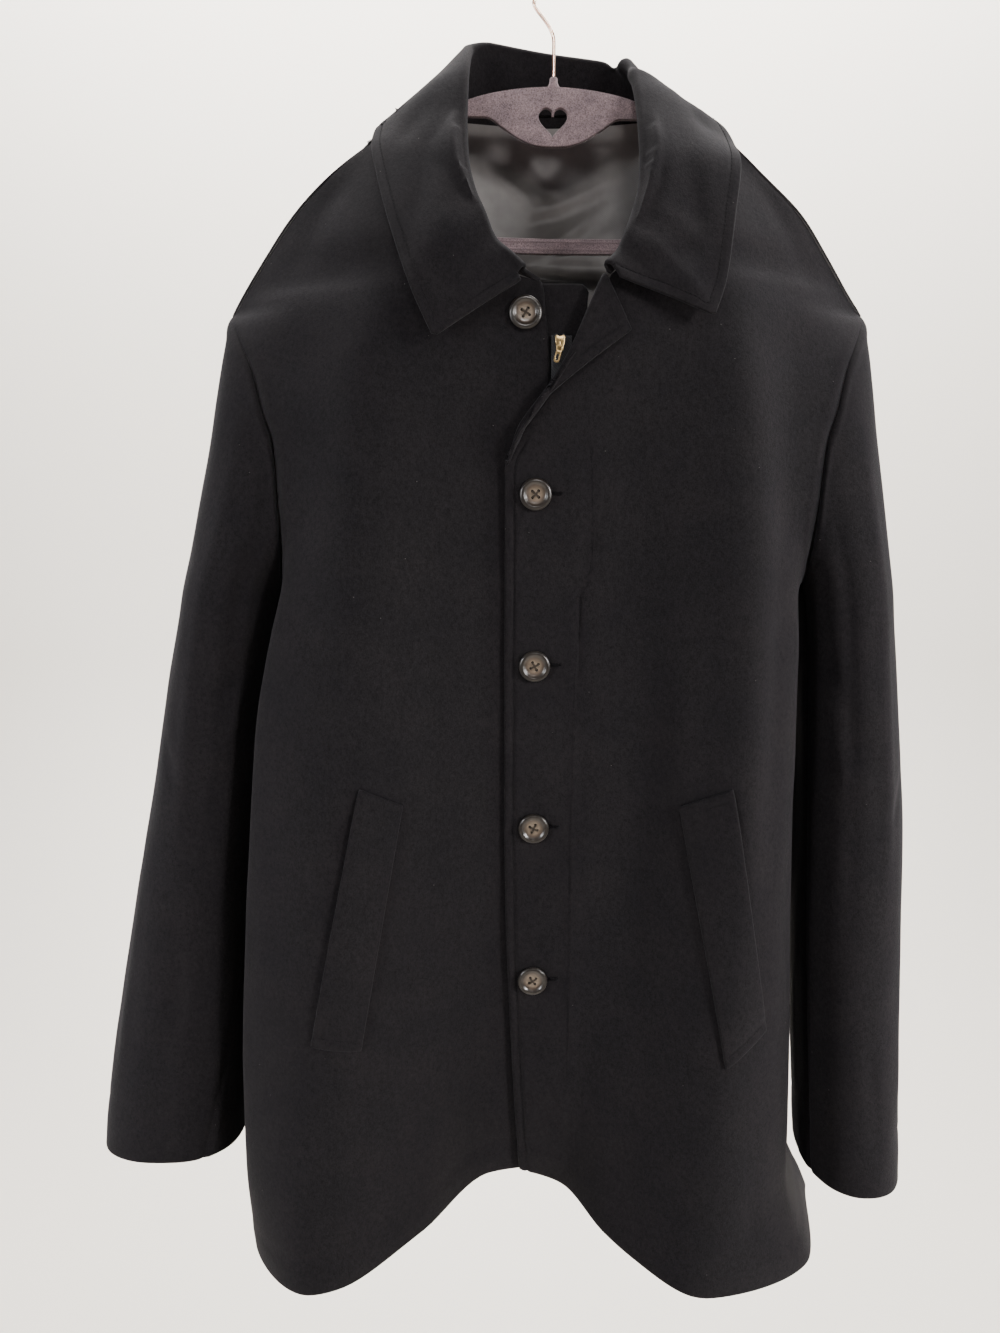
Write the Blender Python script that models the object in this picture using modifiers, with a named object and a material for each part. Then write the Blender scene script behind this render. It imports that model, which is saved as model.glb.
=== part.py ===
"""A man's car coat in felted wool, hung on a slim velvet hanger with a wire hook.

Metres, +Z up. The coat's front faces -Y and the wearer's left is +X. The origin is the inner top of the
hook's crook, where a rail carries it. Tables of sections hold millimetres, a row for each height.
"""

import math

import bmesh
import bpy
from mathutils import Vector
from mathutils.bvhtree import BVHTree

NAME = "car_coat_on_hanger"
MM = 0.001

# Cloth and gaps
CLOTH = 2.4            # felted wool
COLLAR_CLOTH = 3.0     # collar and stand, cut double
LINING_CLOTH = 1.0
SEAM = 0.3             # gap between two pieces at a seam
RIDGE_BLEND = 6.0      # over this width the walls turn to the mitre of the shoulder seam

# Heights
SHOULDER_TIP_Z = -256.0
ARMPIT_Z = -462.0
HEM_Z = -926.0         # at the front edge; the sides hang lower
NECK_POINT_Z = -108.0
CUFF_Z = {"right": -900.0, "left": -908.0}

# Buttons and zip
BUTTON_DIAMETER = 22.5
BUTTON_THICKNESS = 3.8
BUTTON_PITCH = 122.5
TOP_BUTTON_Z = -267.0
ZIP_X = 2.2
ZIP_TOP_Z = -282.0
ZIP_END_Z = -900.0
SLIDER_Z = -287.0

# Hanger
HANGER_THICKNESS = 5.0
HANGER_TILT = math.radians(1.0)
HOOK_WIRE = 2.6
CROOK_RADIUS = 20.0

FRONT_COLUMNS = "z edge_x edge_y mid_x mid_y flank_x flank_y crest_x crest_y turn_x turn_y"
RIGHT_FRONT = [
    (-926, -4, -49.5, -46, -51, -100, -90, -180, -130, -230, -84),
    (-862, -4, -54.5, -46, -56, -98, -88, -178, -124, -236, -84),
    (-782, -4, -58.5, -46, -60, -95, -86, -172, -117, -235, -80),
    (-702, -4, -61.5, -46, -63, -92, -84, -165, -111, -231, -77),
    (-622, -4, -63.5, -46, -65, -88, -82, -158, -105, -224, -74),
    (-542, -4, -64.5, -46, -66, -84, -80, -152, -98, -216, -68),
    (-462, -4, -65.5, -46, -67, -80, -78, -145, -92, -199, -62),
    (-432, -4, -66, -46, -67.5, -79, -77, -142, -89, -190, -64),
    (-402, -4, -66.5, -46, -68, -77, -77, -139, -86, -185, -65),
    (-345, -4, -67.5, -46, -69, -74, -75, -132, -80, -183, -62),
    (-292, -5, -68.5, -44, -70, -70, -72, -125, -72, -185, -48),
    (-262, -8, -69, -42, -71, -66, -71, -120, -65, -188, -38),
    (-247, -10, -69.5, -40, -71, -62, -70, -115, -61, -188, -31),
    (-240, -36, -71, -48, -71, -68, -69, -115, -58, -185, -27),
    (-202, -66, -59, -76, -57, -92, -53, -125, -42, -170, -20),
    (-152, -83, -37, -91, -33, -102, -28, -120, -19, -142, -8),
    (-122, -84, -14, -91, -11, -98, -8.5, -107, -5, -115, -2),
    (-108, -83.5, -2, -84.3, -1.7, -85, -1.4, -85.8, -1, -86.5, -0.5),
]
LEFT_FRONT = [
    (-926, -24, -55, 8, -63, 41, -101, 104, -135, 201, -95),
    (-862, -28, -60, 14, -66, 52, -90, 118, -126, 181, -92),
    (-782, -32, -64, 18, -68, 58, -84, 124, -119, 180, -86),
    (-702, -35, -67, 20, -69, 62, -80, 130, -113, 179, -80),
    (-622, -36, -69, 20, -70, 63, -78, 134, -107, 178, -76),
    (-542, -36, -70, 20, -71, 64, -76, 136, -101, 177, -72),
    (-462, -36, -71, 20, -72, 64, -75, 136, -94, 177, -68),
    (-432, -36, -71.5, 20, -72.5, 63, -75, 134, -91, 175, -67),
    (-402, -36, -72, 20, -73, 62, -75, 132, -87, 173, -66),
    (-372, -36, -72.5, 20, -73.5, 61, -75, 129, -83, 172, -64),
    (-345, -22, -72.8, 22, -74, 60, -75, 126, -80, 172, -61),
    (-312, 2.5, -73, 26, -74, 58, -74, 122, -76, 174, -54),
    (-292, 14, -73.5, 30, -74, 58, -73, 120, -72, 176, -47),
    (-262, 27.3, -74, 41, -74, 62, -71, 115, -65, 178, -37),
    (-242, 37, -74, 47, -73, 64, -70, 112, -60, 178, -28),
    (-232, 50, -71, 58, -70, 72, -67, 110, -56, 172, -25),
    (-202, 65, -60, 74, -57, 88, -52, 120, -41, 162, -19),
    (-152, 81, -37, 88, -33, 98, -28, 115, -19, 134, -8),
    (-122, 82, -14, 88, -11, 94, -8.5, 102, -5, 109, -2),
    (-108, 81.5, -2, 82, -1.7, 82.6, -1.4, 83.2, -1, 83.8, -0.5),
]
BACK_COLUMNS = "z a_x a_y b_x b_y c_x c_y d_x d_y e_x e_y"
BACK = [
    (-926, -238, 16, -130, 26, -15, 22, 100, 26, 200, 8),
    (-782, -226, 20, -125, 29, -15, 25, 95, 29, 176, 16),
    (-622, -208, 24, -120, 31, -12, 27, 95, 31, 172, 18),
    (-462, -190, 30, -110, 36, -8, 32, 95, 36, 170, 26),
    (-402, -180, 36, -110, 40, -5, 36, 95, 40, 158, 32),
    (-345, -178, 36, -110, 42, -3, 39, 98, 41, 158, 32),
    (-292, -190, 30, -110, 42, 0, 42, 100, 41, 172, 28),
    (-256, -205, 18, -115, 40, 0, 44, 108, 39, 185, 17),
    (-202, -175, 16, -105, 36, 0, 47, 100, 35, 165, 16),
    (-152, -145, 10, -100, 31, 0, 50, 96, 30, 136, 10),
    (-122, -104, 14, -80, 32, 0, 51, 78, 32, 96, 14),
    (-108, -80, 18, -62, 38, 0, 50, 60, 38, 78, 18),
]
# Side seams below the armpit and the ridge of the shoulders above the tip
SIDE_COLUMNS = "z right_x right_y left_x left_y"
SIDE_SEAMS = [
    (-926, -252, 0, 222, -15),
    (-862, -243, 1, 194, -6),
    (-782, -236, 2, 188, -2),
    (-702, -229, 3, 187, 2),
    (-622, -222, 4, 186, 4),
    (-542, -214, 4, 185, 0),
    (-480, -205.5, -4, 184.5, -14),
    (-462, -203.5, -6, 185.5, -19),
]
RIDGE_COLUMNS = "z right_x left_x"
RIDGE = [
    (-256, -242, 234.5),
    (-241, -233.2, 224),
    (-212, -214, 205.6),
    (-184, -193.6, 186.3),
    (-156, -166, 157),
    (-129, -129, 126),
    (-117, -108, 104),
    (-108, -87.5, 84.5),
]
# Each sleeve's tube, as the limits of its oval at each height
SLEEVE_COLUMNS = "z outer inner front rear"
RIGHT_SLEEVE = [
    (-905, -358, -249, -84, 2),
    (-862, -354, -245.5, -81, 10),
    (-782, -342.5, -239, -76, 24),
    (-702, -327.5, -233.5, -72, 36),
    (-622, -311.5, -226.5, -69, 46),
    (-542, -297, -218, -67, 52),
    (-480, -285, -207.5, -66, 53),
    (-462, -282, -204, -65, 52),
    (-432, -275, -190, -63, 49),
    (-402, -269, -175, -60, 44),
    (-345, -257, -160, -52, 36),
    (-292, -248, -150, -38, 28),
    (-256, -242, -150, -21, 21),
]
LEFT_SLEEVE = [
    (-910, 273, 201, -112, -4),
    (-862, 271, 198.5, -109, 0),
    (-782, 269, 194.5, -103, 6),
    (-702, 268, 192, -97, 14),
    (-622, 266, 191, -90, 22),
    (-542, 261, 190, -82, 30),
    (-480, 256.5, 188, -75, 36),
    (-462, 255, 186, -74, 36),
    (-432, 252, 178, -70, 36),
    (-402, 249, 168, -66, 36),
    (-345, 243, 158, -55, 32),
    (-292, 238, 150, -40, 26),
    (-256, 234.5, 150, -21, 21),
]
OVAL_POWER = 0.85
# Angles round the tube of the sleeve's columns, each with a row of the panels at its height
ARM_ANGLES = [0, 20, 40, 58, 76, 94, 112, 130, 145, 160, 170, 180]
# Height of the armhole seam round the sleeve's tube, by the angle from its outer side
ARMHOLE = [(0, -256), (30, -264), (65, -292), (93, -345), (115, -402), (137, -432)]
ARMHOLE += [(160, -453), (180, -462)]
# How far the hem hangs below the front edge, along each front and the back
FRONT_SAG = [(0, 0), (0.15, -8), (0.32, -28), (0.52, -47), (0.8, -49), (1, -40)]
BACK_SAG = [(0, -40), (0.5, -32), (1, -40)]
# Shares of a panel's width at the points of its sections
FRONT_STOPS = [(0, 0), (0.8, 4), (1, 5)]
BACK_STOPS = [(0, 0), (0.12, 1), (0.88, 5), (1, 6)]
# The collar: where a row meets the neck seam, then x, y, z of its roll line and x, y, z of its outer edge.
# The seam is given by its height on the fronts and by its share of the width on the back.
COLLAR_RIGHT = [
    (-246, -23, -79.5, -236.5, -27, -84, -247),
    (-238, -30, -76.5, -229, -47, -84, -260.5),
    (-226, -41, -69, -218, -83.4, -90, -285),
    (-212, -49, -61, -198, -98, -84, -253),
    (-190, -56, -51, -180, -107, -72, -228),
    (-163, -60.5, -38, -157, -121, -46, -181),
    (-135, -62, -22, -125, -130.4, -16, -138),
    (-110, -61.5, -2, -84, -126, 10, -119),
]
COLLAR_BACK = [
    (0.10, -61, 24, -58, -104, 42, -118),
    (0.27, -46, 41, -48, -60, 62, -117),
    (0.50, -3, 47, -53, 0, 68, -116),
    (0.73, 42, 40, -62, 56, 62, -117),
    (0.90, 54, 22, -70, 100, 42, -118),
]
COLLAR_LEFT = [
    (-110, 56, -2, -90, 119, 9, -118),
    (-135, 58, -20, -118, 129, -14, -139),
    (-163, 58.5, -36, -150, 128.5, -38, -157),
    (-190, 57, -47, -175, 121.5, -60, -200),
    (-212, 52, -58, -196, 113, -78, -247),
    (-226, 46, -67, -212, 104, -88, -271),
    (-236, 40, -72, -226, 70, -84, -256),
    (-242, 32, -80, -235, 42, -84, -245),
]
COLLAR_POINTS = (2, 18)     # rows at the two points of the collar
FOLD_HALF = 4.2             # half the thickness of the collar's fold
STAND_GAP = 2.5             # from the neck seam's line to the stand, past the panels' thickness
# Free edge of the turned-back corner, from the bottom of its fold up
LAPEL_EDGE = [(-36, -372), (-29.6, -353), (-18.3, -335), (17, -303), (52.3, -277)]
LAPEL_TOP = (41, -243)
# Corners of the pocket welts: top outer, top inner, bottom outer, bottom inner, as x and z
WELTS = {
    "right": ((-137.5, -596), (-109.5, -611), (-175, -783), (-141, -790)),
    "left": ((123.5, -595), (90.5, -612), (154.5, -774), (124.5, -798)),
}


def slope(xs, ys, k):
    """Slope of the curve at its point k, level at a crest or a trough."""
    if k == 0:
        return (ys[1] - ys[0]) / (xs[1] - xs[0])
    if k == len(xs) - 1:
        return (ys[-1] - ys[-2]) / (xs[-1] - xs[-2])
    before = (ys[k] - ys[k - 1]) / (xs[k] - xs[k - 1])
    after = (ys[k + 1] - ys[k]) / (xs[k + 1] - xs[k])
    if before * after <= 0.0:
        return 0.0
    return 2.0 * before * after / (before + after)


def smooth(xs, ys, x):
    """Value at x of a cubic curve through the points that never overshoots them."""
    if x <= xs[0]:
        return ys[0]
    if x >= xs[-1]:
        return ys[-1]
    k = next(i for i in range(len(xs) - 1) if x <= xs[i + 1])
    width = xs[k + 1] - xs[k]
    t = (x - xs[k]) / width
    start = (1 + 2 * t) * (1 - t) ** 2 * ys[k] + t * (1 - t) ** 2 * width * slope(xs, ys, k)
    end = t * t * (3 - 2 * t) * ys[k + 1] + t * t * (t - 1) * width * slope(xs, ys, k + 1)
    return start + end


class Table:
    """Named columns of sizes, joined from row to row by smooth curves in the first column."""

    def __init__(self, names, rows):
        ordered = sorted(rows)
        self.keys = [row[0] for row in ordered]
        self.columns = {name: [row[i] for row in ordered] for i, name in enumerate(names.split())}

    def at(self, name, key):
        return smooth(self.keys, self.columns[name], key)


FRONTS = {"right": Table(FRONT_COLUMNS, RIGHT_FRONT), "left": Table(FRONT_COLUMNS, LEFT_FRONT)}
BACK_TABLE = Table(BACK_COLUMNS, BACK)
SIDES = Table(SIDE_COLUMNS, SIDE_SEAMS)
RIDGES = Table(RIDGE_COLUMNS, RIDGE)
SLEEVES = {"right": Table(SLEEVE_COLUMNS, RIGHT_SLEEVE), "left": Table(SLEEVE_COLUMNS, LEFT_SLEEVE)}
ARMHOLE_ANGLES = [row[0] for row in ARMHOLE]
ARMHOLE_HEIGHTS = [row[1] for row in ARMHOLE]


def power(value):
    return math.copysign(abs(value) ** OVAL_POWER, value)


def tube_point(side, z, angle):
    """Point on a sleeve's tube; the angle runs from its outer side, plus to the front."""
    table = SLEEVES[side]
    outer = table.at("outer", z)
    inner = table.at("inner", z)
    front = table.at("front", z)
    rear = table.at("rear", z)
    turn = math.radians(angle)
    x = (outer + inner) / 2 + (outer - inner) / 2 * power(math.cos(turn))
    y = (front + rear) / 2 + (front - rear) / 2 * power(math.sin(turn))
    return Vector((x, y, z))


def armhole_height(angle):
    return smooth(ARMHOLE_ANGLES, ARMHOLE_HEIGHTS, abs(angle))


def armhole_angle(z):
    """Angle on the sleeve's tube where the armhole seam passes the height z."""
    low = 0.0
    high = 180.0
    for _ in range(40):
        middle = (low + high) / 2
        if armhole_height(middle) > z:
            low = middle
        else:
            high = middle
    return (low + high) / 2


def panel_side(side, z, facing):
    """Where a panel ends: ridge, armhole or side seam. facing is 1 for a front and -1 for the back."""
    if z >= SHOULDER_TIP_Z:
        return RIDGES.at(side + "_x", z), 0.0
    if z > ARMPIT_Z:
        point = tube_point(side, z, facing * armhole_angle(z))
        return point.x, point.y
    return SIDES.at(side + "_x", z), SIDES.at(side + "_y", z)


def hem_share(z):
    """How much of the hem's sag a height takes, none above the armpit."""
    return max(0.0, min(1.0, (ARMPIT_Z - z) / (ARMPIT_Z - HEM_Z))) ** 1.3


def through(points, u, stops):
    """Point at the share u of a smooth flat curve; stops pair shares with the numbers of points."""
    lengths = [0.0]
    for one, two in zip(points, points[1:]):
        lengths.append(lengths[-1] + math.dist(one, two))
    s = lengths[-1]
    for (low, first), (high, last) in zip(stops, stops[1:]):
        if u <= high:
            s = lengths[first] + (lengths[last] - lengths[first]) * (u - low) / (high - low)
            break
    x = smooth(lengths, [p[0] for p in points], s)
    y = smooth(lengths, [p[1] for p in points], s)
    return x, y


def front_point(side, u, row_z):
    """Point on a front's outer face: u from its free edge to the side, row_z before the hem's sag."""
    table = FRONTS[side]
    names = ("edge", "mid", "flank", "crest", "turn")
    points = [(table.at(n + "_x", row_z), table.at(n + "_y", row_z)) for n in names]
    points.append(panel_side(side, row_z, 1))
    x, y = through(points, u, FRONT_STOPS)
    sag = smooth([p[0] for p in FRONT_SAG], [p[1] for p in FRONT_SAG], u)
    return Vector((x, y, row_z + sag * hem_share(row_z)))


def back_point(u, row_z):
    """Point on the back's outer face: u from the right side to the left side."""
    points = [panel_side("right", row_z, -1)]
    points += [(BACK_TABLE.at(n + "_x", row_z), BACK_TABLE.at(n + "_y", row_z)) for n in "abcde"]
    points.append(panel_side("left", row_z, -1))
    x, y = through(points, u, BACK_STOPS)
    sag = smooth([p[0] for p in BACK_SAG], [p[1] for p in BACK_SAG], u)
    rise = 9.0 * math.sin(math.pi * u) ** 0.6 * max(0.0, 1 + (row_z - NECK_POINT_Z) / 45.0) ** 2
    return Vector((x, y, row_z + sag * hem_share(row_z) + rise))


def normal_at(surface, u, v, du, dv, sign):
    """Unit normal of surface(u, v), by small steps kept inside the surface's limits."""
    along = surface(u + du, v) - surface(u, v)
    up = surface(u, v + dv) - surface(u, v)
    if du < 0:
        along = -along
    if dv < 0:
        up = -up
    return along.cross(up).normalized() * sign


def front_normal(side, u, row_z):
    sign = 1 if side == "left" else -1
    du = 0.01 if u < 0.5 else -0.01
    dv = 1.0 if row_z < -500 else -1.0
    return normal_at(lambda a, b: front_point(side, a, b), u, row_z, du, dv, sign)


def back_normal(u, row_z):
    du = 0.01 if u < 0.5 else -0.01
    dv = 1.0 if row_z < -500 else -1.0
    return normal_at(back_point, u, row_z, du, dv, -1)


def tube_normal(side, z, angle):
    sign = 1 if side == "left" else -1
    dv = 1.0 if z < -500 else -1.0
    return normal_at(lambda a, b: tube_point(side, b, a), angle, z, 2.0, dv, -sign)


def shared_offset(one, two, thickness):
    """Step from the outer to the inner face at a seam of two walls, so that both meet in one mitre."""
    middle = (one + two).normalized()
    return middle * min(thickness / max(middle.dot(one), 0.5), 1.5 * thickness)


def tip_offset(side, thickness):
    """The step shared by the front, the back and the sleeve at the shoulder's tip."""
    front = front_normal(side, 1.0, SHOULDER_TIP_Z)
    rear = back_normal(0.0 if side == "right" else 1.0, SHOULDER_TIP_Z)
    head = tube_normal(side, SHOULDER_TIP_Z, 0)
    return (front + rear + head).normalized() * thickness


def ridge_offset(side, row_z, thickness):
    """The step at the shoulder's ridge, square to it in the plane of its seam."""
    sign = 1 if side == "left" else -1
    run = RIDGES.at(side + "_x", row_z + 1) - RIDGES.at(side + "_x", row_z - 1)
    out = Vector((2 * sign, 0, -run * sign)).normalized()
    rear = back_normal(0.0 if side == "right" else 1.0, row_z)
    lean = (out.dot(front_normal(side, 1.0, row_z)) + out.dot(rear)) / 2
    return out * min(thickness / max(lean, 0.5), 1.5 * thickness)


def side_offset(side, row_z, facing, thickness):
    """The mitred step at a panel's side, shared with the panel or sleeve next to it."""
    if facing == 1:
        own = front_normal(side, 1.0, row_z)
    else:
        own = back_normal(0.0 if side == "right" else 1.0, row_z)
    if abs(row_z - SHOULDER_TIP_Z) < 0.01:
        return tip_offset(side, thickness)
    if row_z > SHOULDER_TIP_Z:
        return ridge_offset(side, row_z, thickness)
    if ARMPIT_Z < row_z < SHOULDER_TIP_Z:
        other = tube_normal(side, row_z, facing * armhole_angle(row_z))
    elif facing == 1:
        other = back_normal(0.0 if side == "right" else 1.0, row_z)
    else:
        other = front_normal(side, 1.0, row_z)
    return shared_offset(own, other, thickness)


def mesh_object(name, vertices, faces, material, smooth_faces=True):
    """A named object from points in millimetres."""
    mesh = bpy.data.meshes.new(name)
    mesh.from_pydata([v * MM for v in vertices], [], faces)
    mesh.materials.append(material)
    shaded = bmesh.new()
    shaded.from_mesh(mesh)
    bmesh.ops.recalc_face_normals(shaded, faces=shaded.faces)
    shaded.to_mesh(mesh)
    shaded.free()
    if smooth_faces:
        mesh.shade_smooth()
        mesh.set_sharp_from_angle(angle=math.radians(40))
    result = bpy.data.objects.new(name, mesh)
    collection.objects.link(result)
    return result


def wall(name, outer, inner, material):
    """A closed wall between two grids of points, each a list of rows."""
    rows = len(outer)
    columns = len(outer[0])
    vertices = [p for row in outer for p in row] + [p for row in inner for p in row]
    back = rows * columns

    def at(i, j):
        return i * columns + j

    faces = []
    for i in range(rows - 1):
        for j in range(columns - 1):
            faces.append((at(i, j), at(i, j + 1), at(i + 1, j + 1), at(i + 1, j)))
            faces.append(tuple(back + k for k in (at(i, j), at(i + 1, j), at(i + 1, j + 1), at(i, j + 1))))
    rim = [at(0, j) for j in range(columns)] + [at(i, columns - 1) for i in range(1, rows)]
    rim += [at(rows - 1, j) for j in range(columns - 2, -1, -1)] + [at(i, 0) for i in range(rows - 2, 0, -1)]
    for one, two in zip(rim, rim[1:] + rim[:1]):
        faces.append((two, one, back + one, back + two))
    return mesh_object(name, vertices, faces, material)


def grid_normals(grid, sign):
    """Normals of a grid of points from its neighbours."""
    rows = len(grid)
    columns = len(grid[0])
    normals = []
    for i in range(rows):
        line = []
        for j in range(columns):
            along = grid[i][min(j + 1, columns - 1)] - grid[i][max(j - 1, 0)]
            up = grid[min(i + 1, rows - 1)][j] - grid[max(i - 1, 0)][j]
            line.append(along.cross(up).normalized() * sign)
        normals.append(line)
    return normals


def clear_of(outer, sign, thickness, tree, first, gap):
    """Moves a grid's points off the panels, from the column first on, until its inner face clears them."""
    for _ in range(4):
        normals = grid_normals(outer, sign)
        for line, norms in zip(outer, normals):
            for j in range(first, len(line)):
                under = line[j] - norms[j] * thickness
                place, up, _, distance = tree.find_nearest(under, 15.0)
                if place is not None and (under - place).dot(up) < gap:
                    line[j] = line[j] + up * (gap - (under - place).dot(up))


def face_tree(grids):
    """A search tree over outer faces; each grid comes with True where its faces must be turned."""
    points = []
    faces = []
    for grid, turned in grids:
        base = len(points)
        columns = len(grid[0])
        points += [p for row in grid for p in row]
        for i in range(len(grid) - 1):
            for j in range(columns - 1):
                a = base + i * columns + j
                face = (a, a + 1, a + 1 + columns, a + columns)
                faces.append(face[::-1] if turned else face)
    return BVHTree.FromPolygons(points, faces)


def spread(start, end, count):
    return [start + (end - start) * k / (count - 1) for k in range(count)]


def drawn_in(grid, steps, amount=SEAM / 2 + 0.1):
    """Moves the outer edges of a grid inward along the grid by the amount, with the offsets kept."""
    rows = len(grid)
    columns = len(grid[0])
    moved = [[p.copy() for p in row] for row in grid]
    for i in range(rows):
        for j, inward in ((0, 1), (columns - 1, columns - 2)):
            step = grid[i][inward] - grid[i][j]
            if step.length > 2 * amount:
                moved[i][j] = grid[i][j] + step.normalized() * amount
    for j in range(columns):
        for i, inward in ((0, 1), (rows - 1, rows - 2)):
            step = grid[inward][j] - grid[i][j]
            if step.length > 2 * amount:
                moved[i][j] = moved[i][j] + step.normalized() * amount
    inner = [[moved[i][j] - steps[i][j] for j in range(columns)] for i in range(rows)]
    return moved, inner


def join_side(line, steps, side_step, column, z):
    """Gives a row's side column its mitred step, and the columns close to a ridge their share of it."""
    for j, own in enumerate(steps):
        near = 1.0 - (line[j] - line[column]).length / RIDGE_BLEND
        if z > SHOULDER_TIP_Z and near > 0.0:
            steps[j] = own.lerp(side_step, near)
    steps[column] = side_step


def panel_rows():
    """Heights of the panels' rows, the same at every seam of the front, back and sleeves."""
    rows = [-926, -895, -862, -822, -782, -742, -702, -662, -622, -582, -542, -502, -480]
    rows += [armhole_height(angle) for angle in reversed(ARM_ANGLES)]
    return rows + [-247.5, -240, -232, -222, -202, -177, -152, -141, -130, -118, NECK_POINT_Z]


def build_front(side, material):
    """A front panel, from its hem to the point of the neck."""
    rows = panel_rows()
    shares = [0, 0.06, 0.13, 0.2, 0.27, 0.34, 0.42, 0.5, 0.58, 0.66, 0.73, 0.8, 0.87, 0.94, 1]
    grid = [[front_point(side, u, z) for u in shares] for z in rows]
    steps = [[front_normal(side, u, z) * CLOTH for u in shares] for z in rows]
    for i, z in enumerate(rows):
        join_side(grid[i], steps[i], side_offset(side, z, 1, CLOTH), -1, z)
    outer, inner = drawn_in(grid, steps)
    wall("front_" + side, outer, inner, material)
    return outer


BACK_SHARES = [0, 0.03, 0.07, 0.12, 0.18, 0.26, 0.34, 0.42, 0.5, 0.58, 0.66, 0.74, 0.82, 0.88, 0.93, 0.97, 1]


def build_back(material):
    rows = panel_rows()
    shares = BACK_SHARES
    grid = [[back_point(u, z) for u in shares] for z in rows]
    steps = [[back_normal(u, z) * CLOTH for u in shares] for z in rows]
    for i, z in enumerate(rows):
        join_side(grid[i], steps[i], side_offset("right", z, -1, CLOTH), 0, z)
        join_side(grid[i], steps[i], side_offset("left", z, -1, CLOTH), -1, z)
    outer, inner = drawn_in(grid, steps)
    wall("back", outer, inner, material)
    return outer


def front_seam_angle(side, z):
    """Angle of the sleeve's front seam, which turns forward to the right cuff."""
    if side == "left":
        return 160.0
    return smooth([-905, -820, -716, -560], [122, 140, 158, 160], z)


def sleeve_place(side, part, column, share):
    """Angle and height on the tube of a sleeve's column, at the share down from the armhole seam."""
    angles = sleeve_angles(part)
    first = angles[0]
    last = angles[-1]
    t = (angles[column] - first) / (last - first)
    turn = angles[column] if angles[column] <= 180 else angles[column] - 360
    top = armhole_height(turn)
    z = top + (CUFF_Z[side] - top) * share
    front = front_seam_angle(side, z)
    return front + (last - front) * t, z


def sleeve_angles(part):
    """Angles of a sleeve piece's columns at the armhole, from its front seam to its rear seam."""
    if part == "top":
        return [a for a in reversed(ARM_ANGLES) if a <= 160] + [-a for a in ARM_ANGLES if 0 < a <= 145]
    return [160, 170, 180, 190, 200, 215]


def build_sleeve(side, part, rows, material):
    """The top or the under piece of a sleeve, from the armhole seam to the cuff."""
    grid = []
    steps = []
    for i in range(rows):
        share = (i / (rows - 1)) ** 1.15
        line = []
        offsets = []
        for j in range(len(sleeve_angles(part))):
            angle, z = sleeve_place(side, part, j, share)
            point = tube_point(side, z, angle)
            own = tube_normal(side, z, angle)
            if share == 0:
                own = armhole_step(side, z, angle if angle <= 180 else angle - 360, own)
            else:
                own = own * CLOTH
            if share < 0.02 and 165 < abs(angle) < 195:
                point.x += 0.5 * math.copysign(1, point.x)
            line.append(point)
            offsets.append(own)
        grid.append(line)
        steps.append(offsets)
    outer, inner = drawn_in(grid, steps)
    return wall("sleeve_" + side + "_" + part, outer, inner, material)


def armhole_step(side, z, turn, own):
    """The mitred step at the armhole seam, shared with the front or the back."""
    if z >= SHOULDER_TIP_Z - 0.01:
        return tip_offset(side, CLOTH)
    if z <= ARMPIT_Z + 0.01:
        return own * CLOTH
    if turn >= 0:
        other = front_normal(side, 1.0, z)
    else:
        other = back_normal(0.0 if side == "right" else 1.0, z)
    return shared_offset(own, other, CLOTH)


def face_height(side, x, z):
    """Depth y of a front's outer face at a place in the front view."""
    row_z = z
    y = 0.0
    for _ in range(5):
        low = 0.0
        high = 1.0
        for _ in range(24):
            middle = (low + high) / 2
            if abs(front_point(side, middle, row_z).x - front_point(side, 0, row_z).x) < abs(
                x - front_point(side, 0, row_z).x
            ):
                low = middle
            else:
                high = middle
        point = front_point(side, low, row_z)
        y = point.y
        row_z += z - point.z
    return y


def build_lining(material):
    """The lining of the back, as far down as it shows from the neck."""
    rows = [z for z in panel_rows() if -440 < z < -125]
    shares = BACK_SHARES[4:-4]
    lift = CLOTH + 0.7
    outer = [[back_point(u, z) - back_normal(u, z) * lift for u in shares] for z in rows]
    inner = [[back_point(u, z) - back_normal(u, z) * (lift + LINING_CLOTH) for u in shares] for z in rows]
    return wall("back_lining", outer, inner, material)


def collar_rows():
    """Neck, roll and fall points of each row, from the right end round the back to the left end."""
    rows = []
    for side, table in (("right", COLLAR_RIGHT), ("back", COLLAR_BACK), ("left", COLLAR_LEFT)):
        for neck, *rest in table:
            if side == "back":
                seam = back_point(neck, NECK_POINT_Z)
            else:
                seam = front_point(side, 0, neck)
            rows.append((seam, Vector(rest[:3]), Vector(rest[3:])))
    return rows


def along_rows(points, t, corners=()):
    """Point at the row number t of a smooth curve through the points, broken at the corners."""
    t = max(0.0, min(len(points) - 1.0, t))
    stops = [0, *corners, len(points) - 1]
    for start, end in zip(stops, stops[1:]):
        if t <= end:
            keys = list(range(start, end + 1))
            return Vector([smooth(keys, [points[k][axis] for k in keys], t) for axis in range(3)])
    return points[-1].copy()


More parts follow.
